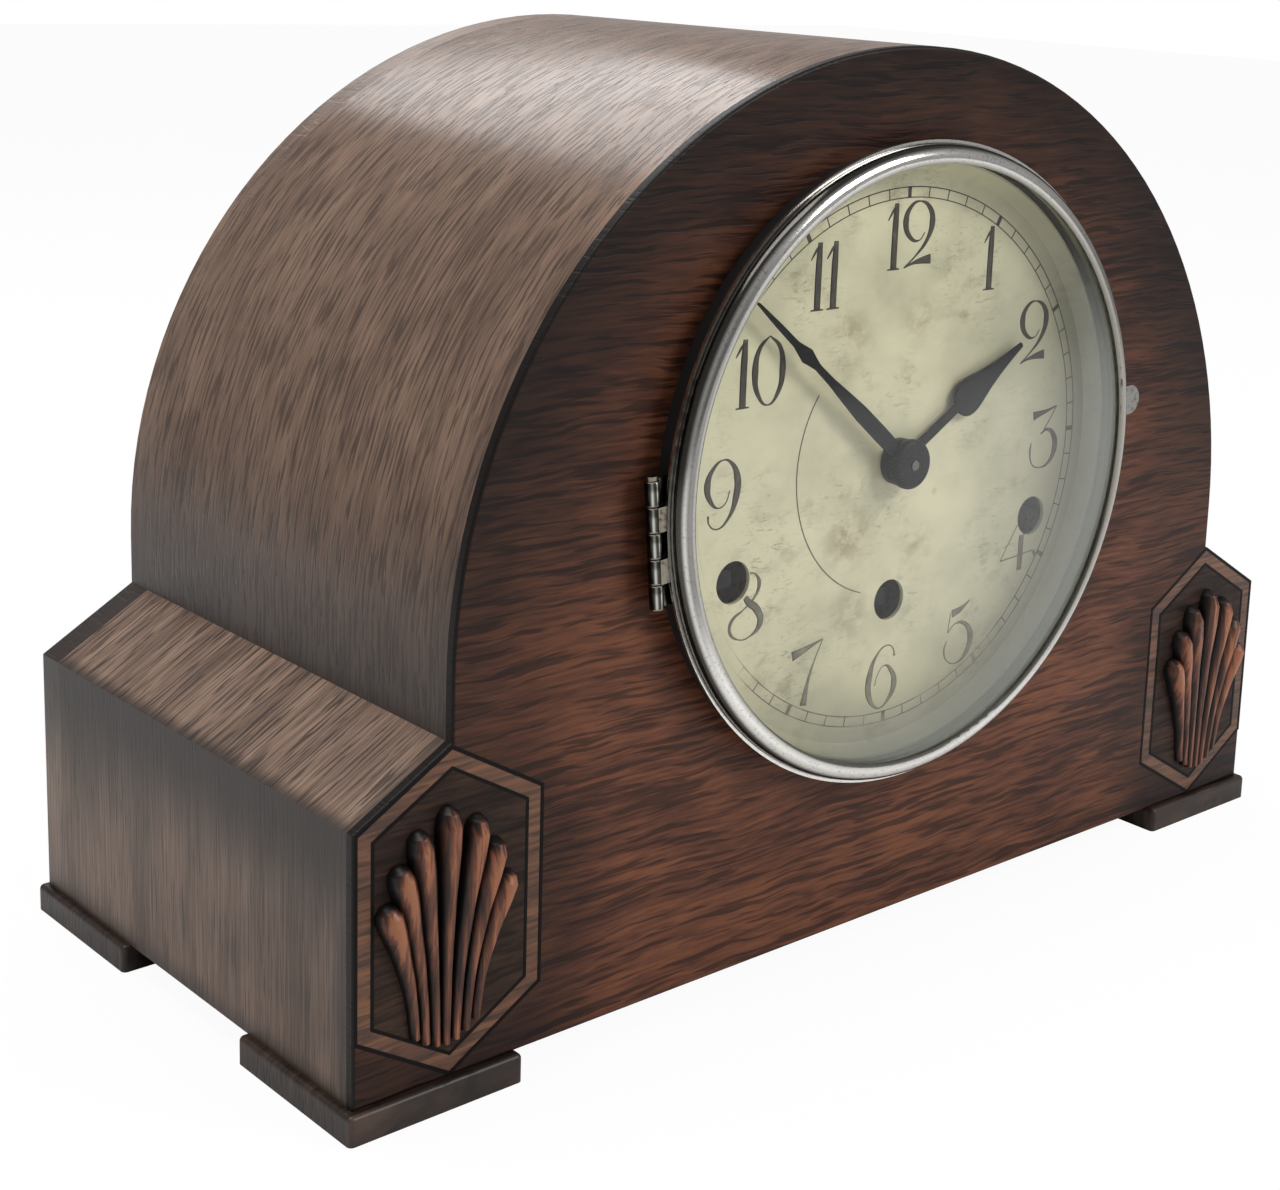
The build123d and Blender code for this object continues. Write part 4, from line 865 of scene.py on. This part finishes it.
# %% Strokes of the figures, in millimetres from the middle of a figure
figure_strokes = {
    "1": (
        ((0.3, 7.7, 0.7), (0.1, 3.0, 1.0), (0.0, -3.0, 1.0), (0.0, -7.6, 1.0)),
        ((0.6, 7.6, 0.12), (-0.8, 6.0, 0.4), (-2.4, 3.8, 0.1)),
        ((-2.0, -7.7, 0.16), (0.0, -7.6, 0.3), (2.0, -7.7, 0.16)),
    ),
    "2": (
        ((2.2, 0.4, 0.1), (0.4, -1.4, 0.16), (-2.6, -0.6, 0.6), (-4.4, 3.2, 1.0), (-2.6, 6.9, 0.5),
         (0.3, 7.8, 0.14), (3.6, 6.0, 0.7), (4.6, 2.8, 1.0), (3.2, -1.2, 0.6), (-0.6, -5.0, 0.25),
         (-4.4, -7.6, 0.12)),
        ((-4.4, -7.6, 0.1), (-1.6, -6.7, 0.35), (1.6, -6.2, 0.8), (4.6, -6.0, 1.2)),
    ),
    "3": (
        ((-4.2, 5.9, 1.15), (-1.2, 6.4, 0.7), (2.0, 7.0, 0.35), (4.6, 7.7, 0.1)),
        ((4.6, 7.6, 0.12), (2.4, 4.6, 0.14), (0.2, 2.0, 0.2)),
        ((-1.0, 1.0, 0.2), (1.6, 1.9, 0.4), (4.4, -0.4, 0.9), (4.8, -3.4, 1.0), (2.8, -6.8, 0.45),
         (-0.4, -7.8, 0.14), (-3.6, -6.6, 0.18), (-4.7, -3.2, 0.3), (-4.4, -1.0, 0.16)),
    ),
    "4": (
        ((1.5, 1.5, 0.9), (1.4, -2.0, 0.95), (1.3, -7.7, 0.95)),
        ((-0.4, 4.3, 0.12), (-2.8, 0.8, 0.18), (-6.2, -4.2, 0.16)),
        ((-6.2, -4.2, 0.14), (0.0, -3.8, 0.18), (6.2, -3.2, 0.14)),
        ((6.4, -3.4, 0.5), (7.4, -5.0, 0.5)),
    ),
    "5": (
        ((-2.8, 5.3, 1.0), (-0.2, 5.9, 0.8), (2.2, 7.0, 0.4), (3.6, 7.9, 0.1)),
        ((-3.2, 5.6, 0.12), (-3.6, 3.4, 0.14), (-4.0, 0.6, 0.14)),
        ((-4.0, 0.6, 0.12), (-1.2, 2.6, 0.2), (2.4, 1.8, 0.6), (4.5, -1.6, 1.05), (3.4, -5.4, 0.75),
         (0.0, -7.8, 0.16), (-3.6, -6.8, 0.16), (-5.0, -3.8, 0.34), (-4.2, -1.4, 0.16)),
    ),
    "6": (
        ((4.2, 4.6, 0.35), (3.6, 6.6, 0.2), (1.4, 7.8, 0.14), (-2.2, 5.6, 0.4), (-4.2, 0.6, 1.0),
         (-4.2, -3.6, 0.95), (-1.8, -7.2, 0.35), (0.0, -7.8, 0.14), (2.8, -6.0, 0.55), (4.5, -2.4, 1.0),
         (3.2, 1.2, 0.6), (0.8, 2.8, 0.16), (-1.4, 0.8, 0.12), (-2.2, -1.8, 0.1)),
    ),
    "7": (
        ((-4.8, 5.2, 1.2), (-1.4, 6.0, 0.8), (2.0, 6.9, 0.4), (5.0, 7.7, 0.12)),
        ((5.0, 7.7, 0.1), (2.6, 3.0, 0.2), (0.6, -2.0, 0.5), (-0.6, -7.6, 1.1)),
    ),
    "8": (
        ((0.75, 7.75, 0.14), (2.2, 7.3, 0.16), (3.7, 5.0, 0.6), (2.6, 2.0, 0.35), (-0.8, -0.6, 0.18),
         (-4.4, -2.8, 0.5), (-4.8, -5.2, 0.45), (-2.0, -7.5, 0.14), (1.4, -7.3, 0.2), (4.4, -4.6, 0.9),
         (3.2, -1.2, 1.0), (0.6, 0.9, 0.9), (-0.5, 2.2, 0.7)),
    ),
    "9": (
        ((-4.0, -4.4, 0.35), (-3.6, -6.4, 0.2), (-1.2, -7.8, 0.14), (2.0, -5.8, 0.4), (4.2, -0.8, 1.0),
         (4.3, 3.4, 1.0), (2.2, 7.0, 0.4), (0.0, 7.8, 0.14), (-2.8, 6.2, 0.5), (-4.5, 2.4, 1.0),
         (-3.4, -1.2, 0.6), (-1.0, -3.0, 0.16), (1.0, -2.2, 0.12), (2.2, 0.6, 0.1)),
    ),
    "0": (
        ((0.0, 7.8, 0.14), (3.05, 5.2, 0.6), (4.15, 0.0, 1.0), (2.9, -5.4, 0.6), (0.0, -7.8, 0.14),
         (-3.05, -5.2, 0.6), (-4.15, 0.0, 1.0), (-2.9, 5.4, 0.6), (0.0, 7.8, 0.14)),
    ),
}
figure_places = (
    ("1", -4.3, 53.7), ("2", 3.6, 53.7), ("1", 29.4, 46.4), ("2", 47.3, 26.5), ("3", 53.6, -1.2),
    ("4", 46.2, -27.4), ("5", 25.8, -47.6), ("6", -1.2, -53.7), ("7", -26.7, -47.7), ("8", -46.5, -27.6),
    ("9", -55.0, -0.3), ("1", -50.0, 26.2), ("0", -42.4, 26.2), ("1", -28.4, 46.2), ("1", -23.4, 46.2),
)
print("figures to paint:", len(figure_places))


# %% Painting the figures
fine_pen = 0.17
pen_flatness = 0.06
pen_lift = 0.03 * MM
numerals = bmesh.new()
for figure, left, up in figure_places:
    for points in figure_strokes[figure]:
        stroke_mesh = swept_bar([(left + x, up + z, max(half, fine_pen)) for x, z, half in points])
        numerals.from_mesh(stroke_mesh)
        bpy.data.meshes.remove(stroke_mesh)
bmesh.ops.scale(numerals, verts=list(numerals.verts), vec=(1.0, 1.0, pen_flatness))
bmesh.ops.transform(numerals, matrix=face_dial, verts=list(numerals.verts))
bmesh.ops.translate(numerals, verts=list(numerals.verts), vec=(0.0, -pen_lift, 0.0))
bmesh.ops.remove_doubles(numerals, verts=list(numerals.verts), dist=0.0005 * MM)
bmesh.ops.recalc_face_normals(numerals, faces=list(numerals.faces))
place_piece(numerals, "dial_numerals", paint_finish, "case")

# %% [markdown]
# ## Bezel, glass and hands
# The bezel is bright plated brass, polished but freckled with age; the light and dark rings across it and
# its darker left and right sides are painted reflection and painted shade. The glass is a shallow dome: what
# it adds to the picture is reflection, so it lets light pass straight through and mirrors more and more
# towards grazing angles, by the fourth power of the slant. A grey film over its right rim is a painted
# reflection of the ring and painted shade. The hands and their nut are blued steel gone black.

# %% Bright metal
def bright_metal(name, colour, dull, roughness, *nodes):
    finish, tree, shader = start_finish(name, roughness, 1.0)
    freckle = noise_node(tree, board_grain(tree, "x", "y", "z"), (900.0, 900.0, 900.0), 3.0)
    mixed = ramp_node(tree, freckle, [(0.5, colour), (0.72, dull)])
    tree.links.new(mixed, shader.inputs["Base Color"])
    dress(finish, *nodes)


bezel_finish, tree, shader = start_finish("bezel_plating", 0.15, 1.0)
axes = object_axes(tree)
bezel_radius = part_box("bezel_ring")[1].x
reach = reach_node(tree, axes, 0.0, dial_middle.z)
bezel_band = 5.3 * MM
band = sum_node(tree, "SUBTRACT", reach, bezel_radius - bezel_band)
band = sum_node(tree, "DIVIDE", band, bezel_band)
# Painted reflection: light and dark rings across the bezel's profile.
plating_and_reflections = ramp_node(
    tree,
    band,
    [
        (0.0, tint(120, 118, 112)),
        (0.16, tint(176, 174, 168)),
        (0.34, tint(226, 224, 220)),
        (0.58, tint(206, 204, 198)),
        (0.7, tint(74, 72, 68)),
        (0.82, tint(60, 58, 55)),
        (0.9, tint(214, 212, 206)),
    ],
)
# Painted reflection and shade: the middle of the band is darkened on the left, and the ring greyed on the
# right.
middle = ramp_node(tree, band, [(0.12, BLACK), (0.26, WHITE), (0.46, WHITE), (0.6, BLACK)])
left = share_node(tree, axes["x"], -0.5 * bezel_radius, -0.95 * bezel_radius, 0.8)
left_height = share_node(tree, axes["z"], dial_middle.z - 45 * MM, dial_middle.z - 15 * MM)
left = sum_node(tree, "MULTIPLY", left, left_height)
plating_and_reflections = blend_node(tree, "MIX", sum_node(tree, "MULTIPLY", middle, left), plating_and_reflections, tint(84, 82, 79))
right = share_node(tree, axes["x"], 0.3 * bezel_radius, 0.95 * bezel_radius, 0.7)
plating_and_reflections = blend_node(tree, "MIX", right, plating_and_reflections, tint(104, 99, 90))
freckle = noise_node(tree, board_grain(tree, "x", "z", "y"), (1500.0, 1500.0, 1500.0), 2.0)
spots = ramp_node(tree, freckle, [(0.56, BLACK), (0.7, WHITE)])
plating_and_reflections = blend_node(tree, "MIX", sum_node(tree, "MULTIPLY", spots, 0.4), plating_and_reflections, tint(90, 86, 78))
tree.links.new(plating_and_reflections, shader.inputs["Base Color"])
dress(bezel_finish, "bezel_ring")
bright_metal("tab_plating", tint(128, 127, 124), tint(92, 90, 86), 0.25, "bezel_tab")
bright_metal(
    "hinge_nickel",
    tint(128, 122, 110),
    tint(58, 50, 40),
    0.25,
    "bezel_hinge_base",
    "bezel_hinge_leaf",
    "bezel_hinge_pin",
)

# %% [markdown]
# ## Knuckles of the bezel hinge
# Each knuckle is rolled from thin sheet, with soft ends. Half its outline is drawn once and spun about the
# pin, and the tube is then set on the hinge line, which leans a little because the hinge sits on a round
# bezel. Light and dark streaks along it are painted reflections, as a polished tube mirrors the room.

# %% Hinge knuckles
hinge_lean = math.radians(5)
hinge_reach = bezel_radius + 2.1 * MM
hinge_axis = Vector((-math.sin(hinge_lean), 0.0, math.cos(hinge_lean)))
hinge_proud = 4 * MM
hinge_spot = Vector(
    (
        -hinge_reach * math.cos(hinge_lean),
        front_face_y - hinge_proud,
        dial_middle.z - hinge_reach * math.sin(hinge_lean),
    )
)
knuckle_count = 5
hinge_long = 29 * MM
knuckle_step = hinge_long / knuckle_count
knuckle_long = knuckle_step - 0.3 * MM
knuckle_radius = 1.63 * MM
knuckle_bore = 0.9 * MM
soft_end = 0.25 * MM
knuckle_finish, tree, shader = start_finish("knuckle_nickel", 0.22, 1.0)
axes = object_axes(tree)
aside = sum_node(tree, "SUBTRACT", axes["x"], hinge_spot.x)
above = sum_node(tree, "SUBTRACT", axes["z"], hinge_spot.z)
across = sum_node(tree, "MULTIPLY", aside, math.cos(hinge_lean))
across = sum_node(tree, "ADD", across, sum_node(tree, "MULTIPLY", above, math.sin(hinge_lean)))
across = sum_node(tree, "ADD", sum_node(tree, "DIVIDE", across, 2 * knuckle_radius), 0.5)
# Painted reflection: bright and dark streaks across each knuckle, set by the distance from the hinge line.
painted_reflection_streaks = [(0.0, 40), (0.1, 60), (0.2, 190), (0.32, 70), (0.46, 60), (0.56, 200), (0.68, 90), (0.9, 50)]
colour = ramp_node(tree, across, [(place, tint(grey, grey, grey - 6)) for place, grey in painted_reflection_streaks])
tree.links.new(colour, shader.inputs["Base Color"])


def knuckle_shape(numbers):
    shape = bmesh.new()
    outline = (
        (knuckle_bore, 0.0),
        (knuckle_radius - soft_end, 0.0),
        (knuckle_radius, soft_end),
        (knuckle_radius, knuckle_long - soft_end),
        (knuckle_radius - soft_end, knuckle_long),
        (knuckle_bore, knuckle_long),
    )
    for number in numbers:
        tube = bmesh.new()
        ring = [tube.verts.new((across, 0.0, along)) for across, along in outline]
        edges = [tube.edges.new((first, second)) for first, second in zip(ring, ring[1:] + ring[:1])]
        bmesh.ops.spin(
            tube,
            geom=ring + edges,
            cent=(0, 0, 0),
            axis=(0, 0, 1),
            angle=2 * math.pi,
            steps=32,
            use_merge=True,
        )
        start = (number - knuckle_count / 2) * knuckle_step + (knuckle_step - knuckle_long) / 2
        lean = Matrix.Rotation(-hinge_lean, 4, "Y")
        place = Matrix.Translation(hinge_spot + hinge_axis * start) @ lean
        bmesh.ops.transform(tube, matrix=place, verts=list(tube.verts))
        bmesh.ops.recalc_face_normals(tube, faces=list(tube.faces))
        for face in tube.faces:
            face.smooth = abs(face.normal.dot(hinge_axis)) < 0.3
        tube_mesh = bpy.data.meshes.new("tube")
        tube.to_mesh(tube_mesh)
        tube.free()
        shape.from_mesh(tube_mesh)
        bpy.data.meshes.remove(tube_mesh)
    return shape


place_piece(knuckle_shape((0, 2, 4)), "base_knuckles", knuckle_finish, "case")
place_piece(knuckle_shape((1, 3)), "leaf_knuckles", knuckle_finish, "bezel")

# %% Glass
glass_finish = bpy.data.materials.new("dome_glass")
glass_finish.use_nodes = True
tree = glass_finish.node_tree
tree.nodes.remove(tree.nodes["Principled BSDF"])
clear = tree.nodes.new("ShaderNodeBsdfTransparent")
clear.inputs["Color"].default_value = (0.985, 0.99, 0.98, 1.0)
mirror = tree.nodes.new("ShaderNodeBsdfGlossy")
mirror.inputs["Roughness"].default_value = 0.03
slant = tree.nodes.new("ShaderNodeLayerWeight")
slant.inputs["Blend"].default_value = 0.5
grazing = sum_node(tree, "POWER", slant.outputs["Facing"], 4.0)
grazing = sum_node(tree, "ADD", sum_node(tree, "MULTIPLY", grazing, 0.9), 0.02)
clean_glass = mix_shaders(tree, grazing, clear.outputs[0], mirror.outputs[0])
# Painted reflection and shade: a grey diffuse film over the right rim stands in for the ring mirrored in the
# glass and the shade under it.
axes = object_axes(tree)
rim = share_node(tree, reach_node(tree, axes, 0.0, dial_middle.z), 50 * MM, 70 * MM)
side = share_node(tree, sum_node(tree, "SUBTRACT", axes["x"], axes["z"]), -0.13, -0.05, 0.45)
painted_haze = tree.nodes.new("ShaderNodeBsdfDiffuse")
painted_haze.inputs["Color"].default_value = tint(146, 148, 141)
painted_haze_share = sum_node(tree, "MULTIPLY", rim, side)
show(tree, mix_shaders(tree, painted_haze_share, clean_glass, painted_haze.outputs[0]))
dress(glass_finish, "bezel_glass")

# %% Black metal
black_finish, tree, shader = start_finish("black_seat", 0.45)
shader.inputs["Base Color"].default_value = tint(26, 25, 25)
dress(black_finish, "bezel_seat")
hand_finish, tree, shader = start_finish("black_hands", 0.4)
shader.inputs["Base Color"].default_value = tint(18, 18, 20)
shader.inputs["Specular IOR Level"].default_value = 0.12
dress(hand_finish, "hour_hand", "minute_hand", "hand_nut")

# %% [markdown]
# ## The movement
# Nothing of the movement shows from the front, but the back opens on it. Plates and wheels are brass with
# a soft brushed look, arbors and levers are steel, and the block of the chime rods is cast iron.

# %% Brass, steel and iron
brass_names = [
    "front_plate", "back_plate", "plate_pillars", "time_barrel", "strike_barrel", "chime_barrel",
    "intermediate_wheel", "third_wheel", "escape_wheel", "minute_wheel", "hour_wheel",
    "strike_wheel", "strike_fly", "chime_fly", "chime_drum", "suspension_cock",
    "pendulum_bob", "chime_rods", "door_hinge_leaves", "door_hinge_straps", "door_hinge_pins",
]
steel_names = [
    "anchor", "pendulum_rod", "cannon_pinion",
    "hammer_arbor", "hammer_1", "hammer_2", "hammer_3", "hammer_4",
]
bright_metal("movement_brass", tint(196, 158, 88), tint(150, 112, 56), 0.32, *brass_names)
bright_metal("movement_steel", tint(150, 150, 152), tint(110, 108, 106), 0.3, *steel_names)
arbor_names = ["time_winding_arbor", "strike_winding_arbor", "chime_winding_arbor"]
bright_metal("arbor_steel", tint(44, 44, 46), tint(30, 30, 30), 0.55, *arbor_names)
centre_finish, tree, shader = start_finish("centre_arbor", 0.3, 1.0)
tip = sum_node(tree, "LESS_THAN", object_axes(tree)["y"], dial_face_y)
tree.links.new(
    blend_node(tree, "MIX", tip, tint(196, 158, 88), tint(96, 96, 94)), shader.inputs["Base Color"]
)
dress(centre_finish, "centre_wheel")
iron_finish, tree, shader = start_finish("cast_iron", 0.6)
shader.inputs["Base Color"].default_value = tint(44, 44, 46)
dress(iron_finish, "rod_block")
undressed = [name for name, solid in clock_nodes.items() if not solid.data.materials]
print("solids without a finish:", undressed)

# %% [markdown]
# ## Floor, light and air
# The clock stands on a plain white floor in a white room. The floor glows white to the camera but still
# takes the clock's shadow, because only part of it is glow. A soft lamp to the right above the front
# throws the hands' shadows to the lower left, a large one overhead lights the slopes, and a third, behind
# and above, is the window whose sheen lies on the bent top.

# %% Floor
floor_reach = 4.0
floor_glow = 0.95
floor_shape = bmesh.new()
bmesh.ops.create_grid(floor_shape, x_segments=1, y_segments=1, size=floor_reach)
bmesh.ops.translate(floor_shape, verts=list(floor_shape.verts), vec=(0.0, 0.0, cad_low.z))
floor_mesh = bpy.data.meshes.new("white_floor")
floor_shape.to_mesh(floor_mesh)
floor_shape.free()
floor = bpy.data.objects.new("white_floor", floor_mesh)
bpy.context.scene.collection.objects.link(floor)
floor_finish, tree, shader = start_finish("floor_paint", 0.9)
shader.inputs["Base Color"].default_value = (0.9, 0.9, 0.9, 1.0)
glow = tree.nodes.new("ShaderNodeEmission")
rays = tree.nodes.new("ShaderNodeLightPath")
seen = sum_node(tree, "MAXIMUM", rays.outputs["Is Camera Ray"], rays.outputs["Is Transmission Ray"])
glow_share = sum_node(tree, "MULTIPLY", seen, floor_glow)
show(tree, mix_shaders(tree, glow_share, shader.outputs[0], glow.outputs[0]))
floor_mesh.materials.append(floor_finish)

# %% Room and lamps
room = bpy.data.worlds.new("white_room")
bpy.context.scene.world = room
room.use_nodes = True
tree = room.node_tree
wall = tree.nodes["Background"]
rays = tree.nodes.new("ShaderNodeLightPath")
seen = sum_node(tree, "MAXIMUM", rays.outputs["Is Camera Ray"], rays.outputs["Is Transmission Ray"])
room_light = 0.37
wall.inputs["Color"].default_value = WHITE
strength = sum_node(tree, "ADD", sum_node(tree, "MULTIPLY", seen, 1.0 - room_light), room_light)
tree.links.new(strength, wall.inputs["Strength"])


def soft_lamp(name, place, target, size, power):
    lamp_data = bpy.data.lights.new(name, "AREA")
    lamp_data.size = size
    lamp_data.energy = power
    lamp = bpy.data.objects.new(name, lamp_data)
    bpy.context.scene.collection.objects.link(lamp)
    lamp.location = place
    lamp.rotation_euler = (Vector(target) - Vector(place)).to_track_quat("-Z", "Y").to_euler()
    print(name, power, "W")


soft_lamp("front_lamp", (0.6, -1.0, 0.85), dial_middle, 0.5, 10.6)
soft_lamp("top_lamp", (-0.3, 0.1, 1.25), (0.0, 0.0, panel_high.z), 0.75, 10.0)
soft_lamp("window_lamp", (0.31, 0.95, 1.06), (0.0, 0.0, panel_high.z), 0.6, 4.6)
